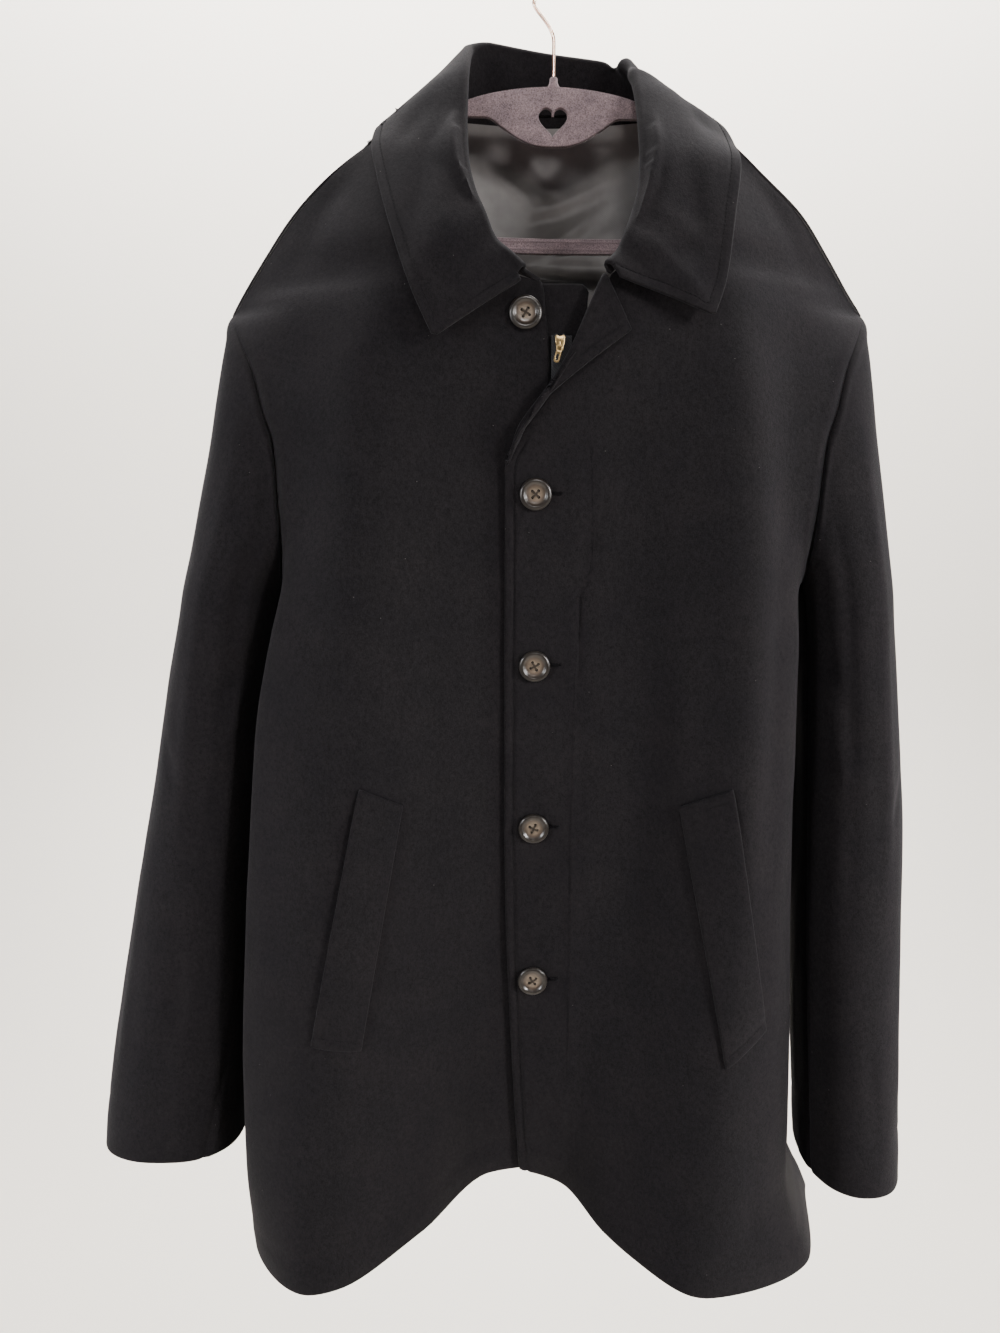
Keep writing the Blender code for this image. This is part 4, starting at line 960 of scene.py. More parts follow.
BACK_CREASES = [
    (-1.6, 16, [(-120, -200), (-100, -300), (-92, -420), (-96, -560)]),
    (-1.4, 14, [(112, -200), (96, -300), (90, -430), (92, -580)]),
    (1.5, 18, [(-40, -180), (-46, -300), (-50, -460), (-52, -640)]),
    (1.3, 17, [(40, -190), (44, -320), (46, -480), (50, -700)]),
    (-1.3, 15, [(-4, -240), (-8, -380), (-14, -560), (-18, -760)]),
    (-1.2, 9, [(-184, -430), (-160, -470), (-130, -520)]),
    (1.0, 9, [(-190, -460), (-166, -510), (-146, -570)]),
    (-1.2, 9, [(170, -440), (146, -480), (120, -530)]),
    (1.0, 9, [(176, -470), (158, -520), (142, -580)]),
    (-1.2, 14, [(-150, -640), (-160, -760), (-168, -880)]),
    (-1.2, 14, [(130, -660), (138, -780), (146, -900)]),
    (1.2, 12, [(-96, -700), (-102, -800), (-106, -900)]),
    (1.2, 12, [(84, -700), (90, -810), (96, -900)]),
    (-0.9, 9, [(-150, -160), (-176, -200), (-198, -240)]),
    (-0.9, 9, [(150, -160), (172, -200), (192, -240)]),
]


def dressed_back():
    count = int(116 / FINE)
    shares = 0.5 - 0.5 * np.cos(np.linspace(0, np.pi, count))
    shares = 0.65 * np.linspace(0, 1, count) + 0.35 * shares
    grid = np.array([back_row(shares, z) for z in PANEL_ZS])
    along = along_columns(grid)
    to_side = np.minimum(along, along[:, -1:] - along)
    places = front_view(grid)
    calm = soft(to_side / 25)
    lift = creases(places, BACK_CREASES) * np.maximum(calm, 0.25)
    lift += uneven(places, 48, 0.55, 3.0) * calm + uneven(places, 130, 1.0, 5.5) * calm
    lift += seams_and_hem(grid, to_side, 0.45, 1.6)
    return grid + normals_of(grid, -1) * lift[..., None]


back_grid = dressed_back()
back = shell("back", back_grid, -1, CLOTH, wool, ("bottom",), satin, FACING_ROWS, NECK_ROWS)


# Sleeves

def front_seam_angle(side, z):
    if side == "left":
        return np.full_like(z, 160.0)
    return curve([-905, -820, -716, -560], [122, 140, 158, 160], z)


DEGREE = 1.5     # millimetres that a degree counts in the creases of a sleeve
# Creases of a sleeve, over its angle and its height
SLEEVE_CREASES = {
    "right": [
        (1.6, 12, [(70, -300), (74, -420), (78, -560), (84, -700)]),
        (-1.5, 11, [(100, -340), (108, -440), (112, -560), (112, -660)]),
        (-1.3, 9, [(150, -470), (120, -520), (90, -556)]),
        (1.1, 8, [(150, -500), (122, -556), (96, -600)]),
        (-1.2, 9, [(40, -560), (70, -600), (104, -620)]),
        (-1.0, 9, [(20, -320), (26, -420), (30, -520)]),
        (1.1, 11, [(40, -660), (44, -760), (46, -860)]),
        (-1.0, 8, [(96, -720), (92, -790), (84, -850)]),
        (-1.2, 10, [(-60, -340), (-70, -460), (-80, -600)]),
        (1.2, 11, [(-100, -480), (-96, -600), (-92, -740)]),
        (-1.1, 9, [(-20, -600), (-50, -650), (-90, -680)]),
    ],
    "left": [
        (1.6, 12, [(60, -310), (66, -430), (70, -560), (72, -720)]),
        (-1.6, 12, [(98, -340), (104, -460), (106, -600), (104, -740)]),
        (-1.2, 9, [(146, -480), (118, -530), (92, -570)]),
        (1.1, 8, [(148, -520), (120, -570), (100, -620)]),
        (-1.1, 9, [(30, -580), (60, -620), (96, -640)]),
        (-1.0, 9, [(16, -320), (22, -430), (26, -540)]),
        (1.0, 11, [(40, -690), (44, -780), (46, -870)]),
        (-1.0, 8, [(90, -780), (84, -840), (78, -890)]),
        (-1.2, 10, [(-60, -340), (-70, -460), (-80, -600)]),
        (1.2, 11, [(-100, -480), (-96, -600), (-92, -740)]),
    ],
}


def sleeve_grid(side, part):
    """The fine grid of a sleeve's piece from the armhole seam to the cuff, with its creases."""
    first, last = (160.0, -145.0) if part == "top" else (160.0, 215.0)
    columns = int((70 if part == "top" else 18) / FINE)
    rows = int(150 / FINE)
    t = np.linspace(0, 1, columns)[None, :]
    angles = first + (last - first) * t
    top = armhole_height(np.where(angles <= 180, angles, angles - 360))
    share = (np.linspace(0, 1, rows) ** 1.15)[:, None]
    z = top + (CUFF_Z[side] - top) * share
    front = front_seam_angle(side, z)
    angle = front + (last - front) * t
    grid = tube_point(side, z, angle)
    places = np.stack([np.where(angle > 180, angle - 360, angle) * DEGREE, z], axis=-1)
    table = [(h, w, [(a * DEGREE, b) for a, b in line]) for h, w, line in SLEEVE_CREASES[side]]
    lift = creases(places, table)
    lift += uneven(places, 40, 0.5, 2.0 if side == "left" else 6.0) + uneven(places, 110, 0.9, 1.0)
    along = along_columns(grid)
    to_seam = np.minimum(along, along[:, -1:] - along)
    down = along_columns(grid.transpose(1, 0, 2)).T
    from_cuff = down[-1:] - down
    lift *= soft(to_seam / 14) * soft(down / 16)
    lift += -1.1 * np.exp(-to_seam / 1.8) + 0.3 * bell(to_seam - 5, 3)
    lift += -1.4 * np.exp(-down / 2.2) + 0.9 * bell(down - 8, 6)
    lift += -0.4 * bell(from_cuff - 40, 1.6) + 0.35 * bell(from_cuff - 20, 12)
    sign = (1 if side == "right" else -1) * (1 if part == "top" else -1)
    return grid + normals_of(grid, sign) * lift[..., None], sign


sleeve_pieces = {}
for wearer_side in ("right", "left"):
    for part in ("top", "under"):
        grid, sign = sleeve_grid(wearer_side, part)
        node = "sleeve_" + wearer_side + "_" + part
        sleeve_pieces[node] = (shell(node, grid, sign, CLOTH, wool, ("top",), satin), grid)


# Collar

def seam_point(side, neck):
    if side == "back":
        return back_row([neck], NECK_POINT_Z)[0]
    return front_row(side, [0.0], neck)[0]


COLLAR_ROWS = []
for row_side, row_table in (("right", COLLAR_RIGHT), ("back", COLLAR_BACK), ("left", COLLAR_LEFT)):
    for neck, *rest in row_table:
        COLLAR_ROWS.append((seam_point(row_side, neck), np.array(rest[:3], float), np.array(rest[3:], float)))


def along_rows(which, t, corners=()):
    """Point at the row number t of a smooth curve through the collar's points, broken at the corners."""
    points = np.array([row[which] for row in COLLAR_ROWS])
    t = min(max(t, 0.0), len(points) - 1.0)
    stops = [0, *corners, len(points) - 1]
    for start, end in zip(stops, stops[1:]):
        if t <= end:
            keys = np.arange(start, end + 1)
            return np.array([curve(keys, points[start:end + 1, axis], t) for axis in range(3)])
    return points[-1]


FALL_STEPS = int(30 / FINE)
FOLD_STEPS = int(12 / FINE)
STAND_STEPS = int(12 / FINE)


def collar_line(t):
    """The stand and the fall at the row number t, as two lines of points."""
    seam = along_rows(0, t)
    roll = along_rows(1, t)
    edge = along_rows(2, t, COLLAR_POINTS)
    for point in COLLAR_POINTS:
        if abs(t - point) < 0.09:
            reach = 0.09 - abs(t - point)
            before = along_rows(2, t - reach, COLLAR_POINTS)
            edge = (before + along_rows(2, t + reach, COLLAR_POINTS)) / 2
    down = unit(unit(seam - roll) + unit(edge - roll))
    ahead = along_rows(1, t + 0.1) - along_rows(1, t - 0.1)
    across = unit(np.cross(ahead, down))
    down = unit(np.cross(across, ahead))
    start = roll + down * FOLD_HALF - across * FOLD_HALF
    end = roll + down * FOLD_HALF + across * FOLD_HALF
    middle = (start + end) / 2
    foot = seam - across * (COLLAR_CLOTH + 0.6)
    foot = foot + unit(start - foot) * STAND_GAP
    join_at = foot + (start - foot) * 0.5
    stand = [foot + (join_at - foot) * k / (STAND_STEPS - 1) for k in range(STAND_STEPS)]
    fall = [join_at + (start - join_at) * k / 6 for k in range(7)]
    for k in range(1, FOLD_STEPS):
        turn = math.pi * k / FOLD_STEPS
        fall.append(middle + (start - middle) * math.cos(turn) + (roll - middle) * math.sin(turn))
    reach = np.linalg.norm(edge - end)
    control = end + down * reach * 0.35 + across * reach * 0.08
    for k in range(FALL_STEPS):
        s = 1 - (1 - k / (FALL_STEPS - 1)) ** 1.35
        fall.append(end * (1 - s) ** 2 + control * 2 * s * (1 - s) + edge * s * s)
    return stand, fall


collar_steps = np.linspace(0, len(COLLAR_ROWS) - 1, int(20 * 13 / FINE) + 1)
both_lines = [collar_line(t) for t in collar_steps]
stand_grid = np.array([line[0] for line in both_lines])
fall_grid = np.array([line[1] for line in both_lines])
panel_tree = tree_of([(left_grid, 1), (right_grid, -1), (back_grid, -1)])
FALL_FIRST = 7 + FOLD_STEPS - 1

# Dents and folds of the collar, in the front view: height, half width and line
COLLAR_CREASES = [
    (-1.6, 11, [(-108, -226), (-96, -190), (-92, -150), (-96, -110)]),
    (1.3, 10, [(-82, -236), (-72, -196), (-70, -156), (-78, -110)]),
    (-1.1, 7, [(-66, -262), (-84, -240), (-104, -226)]),
    (-1.2, 7, [(-120, -150), (-104, -132), (-88, -104)]),
    (-1.6, 11, [(104, -232), (96, -196), (90, -150), (86, -112)]),
    (1.3, 10, [(74, -240), (70, -196), (70, -150), (70, -110)]),
    (-1.1, 7, [(62, -250), (80, -232), (104, -222)]),
    (-1.2, 7, [(120, -140), (104, -120), (88, -96)]),
]


# Crumpled folds across the roll at the left shoulder: row number, height and half width
CRUMPLES = [(11.35, -4.0, 0.24), (11.8, 2.2, 0.22), (12.4, -2.6, 0.22), (12.85, 1.5, 0.2)]


def dressed_fall(grid):
    """The fall with its dents, its curled edge and the crumpled folds at the left shoulder."""
    along = along_columns(grid)
    from_edge = along[:, -1:] - along
    t = collar_steps[:, None]
    to_end = np.minimum(t, 20 - t)
    free = soft((from_edge - 9) / 22) * soft((to_end - 0.6) / 1.6)
    free = free * soft((along - along[:, FALL_FIRST:FALL_FIRST + 1]) / 16)
    places = front_view(grid)
    lift = np.where(grid[..., 1] < 20, creases(places, COLLAR_CREASES), 0.0) * free
    lift += uneven(places, 34, 0.6, 1.4) * free
    lift += 0.9 * bell(from_edge, 9.0) * soft((to_end - 0.3) / 1.2)
    for row, height, width in CRUMPLES:
        lift += height * bell(t - row, width) * bell(along / along[:, -1:] - 0.34, 0.2)
    return grid + normals_of(grid, -1) * lift[..., None]


fall_grid = clear_of(dressed_fall(fall_grid), -1, COLLAR_CLOTH, panel_tree, FALL_FIRST, 0.9)


def line_inside(grid, sign):
    """Points and normals of the stitched line inside the grid's last column, square to that edge."""
    normals = normals_of(grid, sign)
    ahead = np.gradient(grid[:, -1], axis=0)
    ahead /= np.linalg.norm(ahead, axis=1, keepdims=True) + 1e-9
    distance = to_last_column(grid)
    points = []
    ups = []
    for i in range(len(grid)):
        inward = unit(grid[i, -6] - grid[i, -1])
        way = EDGE_STITCH_IN / max(0.35, np.linalg.norm(np.cross(inward, ahead[i])))
        for values, kept in ((grid, points), (normals, ups)):
            kept.append([np.interp(way, distance[i, ::-1], values[i, ::-1, a]) for a in range(3)])
    return np.array(points), np.array(ups)


def groove(grid, sign, depth):
    """Sinks the stitched line beside the grid's last column."""
    line, _ = line_inside(grid, sign)
    distance = np.full(grid.shape[:2], 1e9)
    for shift in (-2, -1, 0, 1, 2):
        moved = np.roll(line, shift, axis=0)
        if shift > 0:
            moved[:shift] = line[0]
        if shift < 0:
            moved[shift:] = line[-1]
        distance = np.minimum(distance, np.linalg.norm(grid - moved[:, None], axis=2))
    return grid - normals_of(grid, sign) * (depth * bell(distance, 1.0))[..., None]


fall_grid = groove(fall_grid, -1, 0.5)
stand_piece = shell("collar_stand", stand_grid, -1, COLLAR_CLOTH, wool, ())
fall_piece = shell("collar_fall", fall_grid, -1, COLLAR_CLOTH, wool, ("bottom", "top", "end"))


# Turned-back corner of the over front

def build_lapel_grid():
    profile = [(-2.6, 2.6), (-1.0, 2.45), (0.6, 2.4), (1.4, 2.42), (2.1, 2.4), (3.2, 2.1), (4.2, 1.5)]
    profile += [(4.8, 0.5), (5.1, -0.6), (4.9, -1.8), (4.2, -2.7), (3.2, -3.3), (2.1, -3.7)]
    keys = np.linspace(0, 1, len(LAPEL_EDGE))
    edge_points = np.array(LAPEL_EDGE, float)
    face_tree_left = tree_of([(left_grid, 1)])
    outer = []
    lowest = 0
    for v in np.linspace(0.05, 0.98, int(76 / FINE)):
        near = float(soft((v - 0.05) / 0.17))
        lowest += near < 1
        fold_z = LAPEL_EDGE[0][1] + (LAPEL_TOP_Z - LAPEL_EDGE[0][1]) * v
        fold = front_row("left", [0.0], fold_z)[0]
        up = front_row("left", [0.0], fold_z + 2)[0] - front_row("left", [0.0], fold_z - 2)[0]
        out = unit(np.array([-up[2], 0, up[0]]))
        line = [
            fold + out * (away * near - 1.0 * (1 - near)) + np.array([0, dy * near + 1.2 * (1 - near), 0])
            for away, dy in profile
        ]
        edge_x = curve(keys, edge_points[:, 0], v)
        edge_z = curve(keys, edge_points[:, 1], v)
        count = int(34 / FINE)
        start = line[-1]
        for k in range(1, count + 1):
            s = k / count
            s = 1 - (1 - s) ** 1.25
            x = start[0] + (edge_x - start[0]) * s
            z = start[2] + (edge_z - start[2]) * s
            y = face_y(face_tree_left, x, z) - (3.9 + 1.5 * s) * near + 1.2 * (1 - near)
            y = y * soft(s / 0.2) + start[1] * (1 - soft(s / 0.2)) if s < 0.2 else y
            line.append(np.array([x, y, z]))
        outer.append(line)
    outer = np.array(outer)
    outer[lowest:] = clear_of(outer[lowest:], 1, CLOTH, face_tree_left, len(profile) + 3, 0.9, 2)
    places = front_view(outer)
    lift = uneven(places, 22, 0.35, 0.6) + creases(places, [(0.8, 7, [(0, -336), (16, -312), (34, -292)])])
    calm = soft((to_last_column(outer) - 5) / 8)
    calm[:, : len(profile) + 2] = 0
    outer = outer + normals_of(outer, 1) * (lift * calm)[..., None]
    return groove(outer, 1, 0.45)


lapel_grid = build_lapel_grid()


lapel_piece = shell("facing_left", lapel_grid, 1, CLOTH, wool, ("bottom", "top", "end"))


# Pocket welts

def welt_grid(side):
    tree = left_tree if side == "left" else right_tree
    top_out, top_in, low_out, low_in = (np.array(c, float) for c in WELTS[side])
    rows = int(56 / FINE)
    columns = int(16 / FINE)
    grid = []
    for v in np.linspace(0, 1, rows):
        line = []
        for u in np.linspace(0, 1, columns):
            out = top_out + (low_out - top_out) * v
            inn = top_in + (low_in - top_in) * v
            x, z = out + (inn - out) * u
            ends = min(v, 1 - v)
            # The outer side is the opening and stands off the front, the inner side is sewn down
            stand = 2.2 * (1 - u) ** 1.4 * float(soft(ends / 0.16)) + 0.25 * math.sin(9 * v + 2)
            line.append((x, face_y(tree, x, z) - CLOTH - 0.55 - max(0.0, stand), z))
        grid.append(line)
    return np.array(grid)


left_tree = tree_of([(left_grid, 1)])
right_tree = tree_of([(right_grid, -1)])
welts = {}
for wearer_side in ("right", "left"):
    grid = welt_grid(wearer_side)
    sign = 1 if wearer_side == "left" else -1
    down = along_columns(grid.transpose(1, 0, 2)).T
    from_end = np.minimum(down, down[-1:] - down)
    lift = -0.45 * bell(from_end - 6.5, 0.9) + 0.3 * bell(from_end - 3, 2)
    grid = grid + normals_of(grid, sign) * lift[..., None]
    piece = shell("pocket_welt_" + wearer_side, grid, sign, CLOTH, wool, ("bottom", "top", "start", "end"))
    welts[wearer_side] = (piece, grid, sign)


# Lining of the back

LINING_FOLDS = [
    (-2.6, 5, [(-48, -212), (-20, -199), (8, -190), (46, -168)]),
    (2.4, 6, [(-52, -228), (-20, -212), (14, -200), (52, -182)]),
    (-2.2, 5, [(-16, -212), (10, -204), (34, -192), (60, -180)]),
    (-2.8, 3.5, [(-60, -196), (-24, -216), (16, -222), (56, -224)]),
    (2.6, 5, [(-36, -224), (4, -212), (30, -214), (58, -214)]),
    (-2.4, 5, [(-62, -136), (-38, -144), (-20, -158), (-8, -178)]),
    (2.2, 5, [(-50, -134), (-24, -142), (2, -158), (14, -170)]),
    (-2.2, 5, [(62, -140), (40, -150), (14, -162), (-24, -172)]),
    (2.0, 5, [(62, -152), (36, -164), (6, -176), (-34, -184)]),
    (-2.0, 6, [(34, -232), (44, -250), (48, -272)]),
    (1.8, 6, [(-30, -240), (-20, -256), (-18, -280)]),
    (-1.2, 10, [(-90, -300), (-92, -360), (-90, -420)]),
    (1.2, 10, [(-40, -300), (-44, -360), (-44, -420)]),
    (-1.2, 10, [(20, -300), (18, -360), (16, -420)]),
    (1.2, 10, [(84, -290), (88, -350), (90, -420)]),
]


def lining_grid():
    zs = np.concatenate([np.arange(-424.0, -300.0, 5.0 * FINE), np.arange(-300.0, -112.0, 1.9 * FINE)])
    sides = np.linspace(0.125, 0.36, int(16 / FINE))
    shares = np.concatenate([sides, np.linspace(0.365, 0.63, int(72 / FINE)), 1 - sides[::-1] - 0.007])
    grid = np.array([back_row(shares, z) for z in zs])
    normals = normals_of(grid, -1)
    lift = creases(front_view(grid), LINING_FOLDS) + uneven(front_view(grid), 24, 0.45, 1.0)
    rows = np.arange(len(zs))[:, None]
    edge = soft(np.minimum(rows, len(zs) - 1 - rows) / 5.0)
    depth = 0.7 + 2.7 * soft((-112.0 - zs[:, None]) / 22)
    return grid - normals * (CLOTH + depth + lift * edge)[..., None]


lining_points = lining_grid()
lining = shell("back_lining", lining_points, -1, LINING_CLOTH, satin, (), slot="lining_satin")


# Inner zip

EDGE_OF_RIGHT = FRONTS["right"]


def zip_strip(columns, zs, depth):
    """A flat strip behind or before the under front's edge."""
    columns, zs = np.meshgrid(columns, zs)
    return np.stack([columns, EDGE_OF_RIGHT.at("edge_y", zs) + depth, zs], axis=-1)


guard_columns = np.concatenate([np.linspace(-12, 17, int(12 / FINE)), [18.5, 19.6, 20.4, 21]])
guard_points = zip_strip(guard_columns, spread_z(ZIP_END_Z, GUARD_TOP_Z, 5), 3.0)
guard_points[..., 1] += 0.12 * np.sin(guard_points[..., 2] / 37.0 + guard_points[..., 0] / 9.0)
corner = np.clip((guard_points[..., 0] - 15) / 6, 0, 1)
guard_points[..., 2] -= 5.0 * (1 - np.sqrt(1 - corner ** 2)) * soft((guard_points[..., 2] + 300) / 45)
guard = shell("zip_guard", guard_points, 1, GUARD_CLOTH, wool, ("top", "end"))
tape_zs = spread_z(ZIP_END_Z, ZIP_TOP_Z, 5)
TAPE_SHELL = {"slot": "zip_twill", "ending": "_weave"}
tape_right_points = zip_strip(np.linspace(-3.6, ZIP_X - 0.15, 7), tape_zs, -0.9)
tape_right = shell("zip_tape_right", tape_right_points, 1, TAPE_CLOTH, twill, ("top",), **TAPE_SHELL)
tape_left_points = zip_strip(np.linspace(ZIP_X + 0.15, ZIP_X + 8.3, 9), tape_zs, -0.9)
tape_left = shell("zip_tape_left", tape_left_points, 1, TAPE_CLOTH, twill, ("top",), **TAPE_SHELL)


BLOCK = [(-0.5, -0.3), (-0.3, -0.5), (0.3, -0.5), (0.5, -0.3)]
BLOCK += [(-x, -z) for x, z in BLOCK]


def boxes(places, sizes):
    """Small blocks with cut corners, at places with their sizes."""
    parts = []
    for (cx, cy, cz), (w, d, h) in zip(places, sizes):
        points = [(cx + x * w, cy + y * d, cz + z * h) for y in (-0.5, 0.5) for x, z in BLOCK]
        faces = [tuple(range(8)), tuple(range(15, 7, -1))]
        faces += [(k, k + 8, (k + 1) % 8 + 8, (k + 1) % 8) for k in range(8)]
        parts.append((points, faces))
    return gathered(parts)


teeth_places = []
teeth_sizes = []
for k, z in enumerate(np.arange(-896, -294, 1.75)):
    teeth_places.append((ZIP_X + (-0.75 if k % 2 else 0.75), EDGE_OF_RIGHT.at("edge_y", z) - 1.35, z))
    teeth_sizes.append((2.0, 1.3, 1.25))
for side in (-1, 1):
    for k in range(3):
        z = -281.4 - k * 1.8
        teeth_places.append((ZIP_X + side * (2.6 - 0.5 * k), EDGE_OF_RIGHT.at("edge_y", z) - 1.35, z))
        teeth_sizes.append((1.9, 1.3, 1.3))
points, faces = boxes(teeth_places, teeth_sizes)
mesh_piece("zip_teeth", points, faces, [twill], 30)


def plate_piece(name, outline, depths, bevel, holes, material, place=None, body="coat"):
    """A plate in the XZ plane with rounded rims, between two depths, with holes of their own outlines."""
    low, high = depths
    levels = [(low, bevel), (low + bevel * 0.3, bevel * 0.3), (low + bevel, 0.0)]
    levels += [(high - bevel, 0.0), (high - bevel * 0.3, bevel * 0.3), (high, bevel)]
    build = bmesh.new()

    def ring(points, y, inset):
        points = np.array(points, float)
        ahead = np.roll(points, -1, 0) - np.roll(points, 1, 0)
        ahead /= np.linalg.norm(ahead, axis=1, keepdims=True) + 1e-9
        inward = np.stack([-ahead[:, 1], ahead[:, 0]], axis=1)
        area = np.sum(points[:, 0] * np.roll(points[:, 1], -1) - np.roll(points[:, 0], -1) * points[:, 1])
        moved = points + inward * (inset if area > 0 else -inset)
        return [build.verts.new(Vector((x, y, z)) * MM) for x, z in moved]

    flats = ([], [])
    for points, side in [(outline, 1)] + [(hole, -1) for hole in holes]:
        rings = [ring(points, y, inset * side) for y, inset in levels]
        for a, b in zip(rings, rings[1:]):
            for k in range(len(a)):
                m = (k + 1) % len(a)
                build.faces.new([a[k], a[m], b[m], b[k]])
        for flat, loop in zip(flats, (rings[0], rings[-1])):
            flat.extend(build.edges.get((loop[k - 1], loop[k])) for k in range(len(loop)))
    for flat in flats:
        bmesh.ops.triangle_fill(build, use_beauty=True, use_dissolve=False, edges=flat)
    bmesh.ops.recalc_face_normals(build, faces=build.faces[:])
    if place is not None:
        build.transform(place)
    mesh = bpy.data.meshes.new(name)
    build.to_mesh(mesh)
    build.free()
    return finished(name, mesh, [material], 38, body)


ZIP_FACE = float(EDGE_OF_RIGHT.at("edge_y", SLIDER_Z)) - 0.9 - SEAM
body_half = [(0, 4.3), (0.9, 4.6), (2.2, 5.4), (3.5, 4.4), (3.3, 1.5), (2.6, -2.4), (2.4, -4.6), (1.7, -5.4)]
body_outline = [(ZIP_X + x, SLIDER_Z + z) for x, z in body_half + [(-x, z) for x, z in body_half[:0:-1]]]
slider_top = ZIP_FACE - 3.0
slider_depths = (slider_top, ZIP_FACE - 0.1)
slider = plate_piece("zip_slider_body", body_outline, slider_depths, 0.45, [], brass)
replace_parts(slider, "zip_slider")
bridge_path = [(ZIP_X, slider_top + 0.1, SLIDER_Z - 3.6), (ZIP_X, slider_top - 0.9, SLIDER_Z - 3.55)]
bridge_path += [(ZIP_X, slider_top - 1.7, SLIDER_Z - 3.1), (ZIP_X, slider_top - 2.05, SLIDER_Z - 2.2)]
bridge_path += [(ZIP_X, slider_top - 2.05, SLIDER_Z + 0.4), (ZIP_X, slider_top - 1.7, SLIDER_Z + 1.3)]
bridge_path += [(ZIP_X, slider_top - 0.9, SLIDER_Z + 1.7), (ZIP_X, slider_top + 0.1, SLIDER_Z + 1.75)]
points, faces = tube(bridge_path, 0.46, 10, up=(1.0, 0.0, 0.0))
mesh_piece("zip_slider_bridge", points, faces, [brass])

pivot = Vector((ZIP_X, slider_top - 0.8, SLIDER_Z - 2.3)) * MM
tab_half = [(-1.5, 0.55), (-1.9, 0.25), (-1.95, -2.2), (-1.75, -3.6), (-1.9, -5.2), (-2.0, -9.6)]
tab_half += [(-1.6, -10.9), (-0.6, -11.35)]
tab_outline = tab_half + [(-x, z) for x, z in reversed(tab_half)]
tab_window = [(-1.25, -0.6), (-1.25, -2.9), (-1.0, -3.1), (1.0, -3.1), (1.25, -2.9), (1.25, -0.6)]
tab_lower = []
for k in range(18):
    turn = 2 * math.pi * k / 18
    x, z = (math.copysign(abs(way) ** (2 / 2.6), way) for way in (math.cos(turn), math.sin(turn)))
    tab_lower.append((x, z * 2.3 - 7.8))
place_tab = Matrix.Translation(pivot) @ Matrix.Rotation(math.radians(14), 4, "Y")
tab = plate_piece("zip_pull_tab_plate", tab_outline, (-0.4, 0.4), 0.16, [tab_window, tab_lower], brass,
                  place_tab, "zip_pull")
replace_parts(tab, "zip_pull_tab")


# Buttons

# Radius and height of a turned button, as shares, from the middle of its face round to its back
BUTTON_PROFILE = [(0.0, 0.58), (0.1, 0.58), (0.2, 0.582), (0.3, 0.585), (0.38, 0.59), (0.46, 0.605)]
BUTTON_PROFILE += [(0.54, 0.64), (0.6, 0.69), (0.66, 0.78), (0.7, 0.87), (0.74, 0.95), (0.78, 0.99)]
BUTTON_PROFILE += [(0.82, 1.0), (0.87, 0.985), (0.92, 0.93), (0.96, 0.84), (0.985, 0.73), (1.0, 0.6)]
BUTTON_PROFILE += [(0.985, 0.45), (0.94, 0.28), (0.86, 0.12), (0.74, 0.03), (0.6, 0.0), (0.0, 0.0)]
HOLE_AT = 2.2           # of each thread hole, both ways from the middle
HOLE_RADIUS = 1.1


def drilled(piece):
    """The mesh of a button with its four holes cut."""
    build = bmesh.new()
    for a in (-HOLE_AT, HOLE_AT):
        for b in (-HOLE_AT, HOLE_AT):
            bmesh.ops.create_cone(build, cap_ends=True, segments=20, radius1=HOLE_RADIUS * MM,
                                  radius2=HOLE_RADIUS * MM, depth=8 * MM,
                                  matrix=Matrix.Translation(Vector((a, b, 2.0)) * MM))
    cutter_mesh = bpy.data.meshes.new(piece.name + "_drill")
    build.to_mesh(cutter_mesh)
    build.free()
    cutter = linked(piece.name + "_drill", cutter_mesh)
    drill = piece.modifiers.new("holes", "BOOLEAN")
    drill.object = cutter
    drill.operation = "DIFFERENCE"
    bpy.context.view_layer.update()
    solid = bpy.data.meshes.new_from_object(piece.evaluated_get(bpy.context.evaluated_depsgraph_get()))
    piece.modifiers.clear()
    bpy.data.objects.remove(cutter)
    solid.shade_smooth()
    solid.set_sharp_from_angle(angle=math.radians(35))
    return solid


def button_piece(name, x, y, z, spin):
    """A horn button with drilled holes and a crossed thread, at its place on the front."""
    around = int(72 / FINE)
    size = Vector((BUTTON_DIAMETER / 2, BUTTON_DIAMETER / 2, BUTTON_THICKNESS)) * MM
    build = bmesh.new()
    rows = []
    for r, h in BUTTON_PROFILE:
        turns = [2 * math.pi * k / around for k in range(around if r else 1)]
        rows.append([build.verts.new(size * Vector((r * math.cos(t), r * math.sin(t), h))) for t in turns])
    for a, b in zip(rows, rows[1:]):
        for k in range(around):
            m = (k + 1) % around
            corners = [a[k % len(a)], b[k % len(b)], b[m % len(b)], a[m % len(a)]]
            build.faces.new(list(dict.fromkeys(corners)))
    bmesh.ops.recalc_face_normals(build, faces=build.faces[:])
    mesh = bpy.data.meshes.new(name)
    build.to_mesh(mesh)
    build.free()
    piece = finished(name, mesh, [horn], 35)
    piece.data = drilled(piece)
    turn = Matrix.Rotation(math.radians(90), 4, "X") @ Matrix.Rotation(spin, 4, "Z")
    piece.matrix_world = Matrix.Translation(Vector((x, y, z)) * MM) @ turn
    threads = []
    for way in (1, -1):
        for shift in (-0.32, 0.0, 0.32):
            path = []
            for s in np.linspace(0, 1, 13):
                across = HOLE_AT * (2 * s - 1)
                rise = 2.62 + 0.5 * min(1.0, 6 * s, 6 * (1 - s)) if 0.04 < s < 0.96 else 1.2
                path.append((across + shift * way, way * across - shift, rise))
            threads.append(tube(path, 0.28, 6, up=(0, 0, 1)))
    points, faces = gathered(threads)
    knot = mesh_piece(name + "_thread", points, faces, [button_thread])
    knot.matrix_world = piece.matrix_world
    return piece


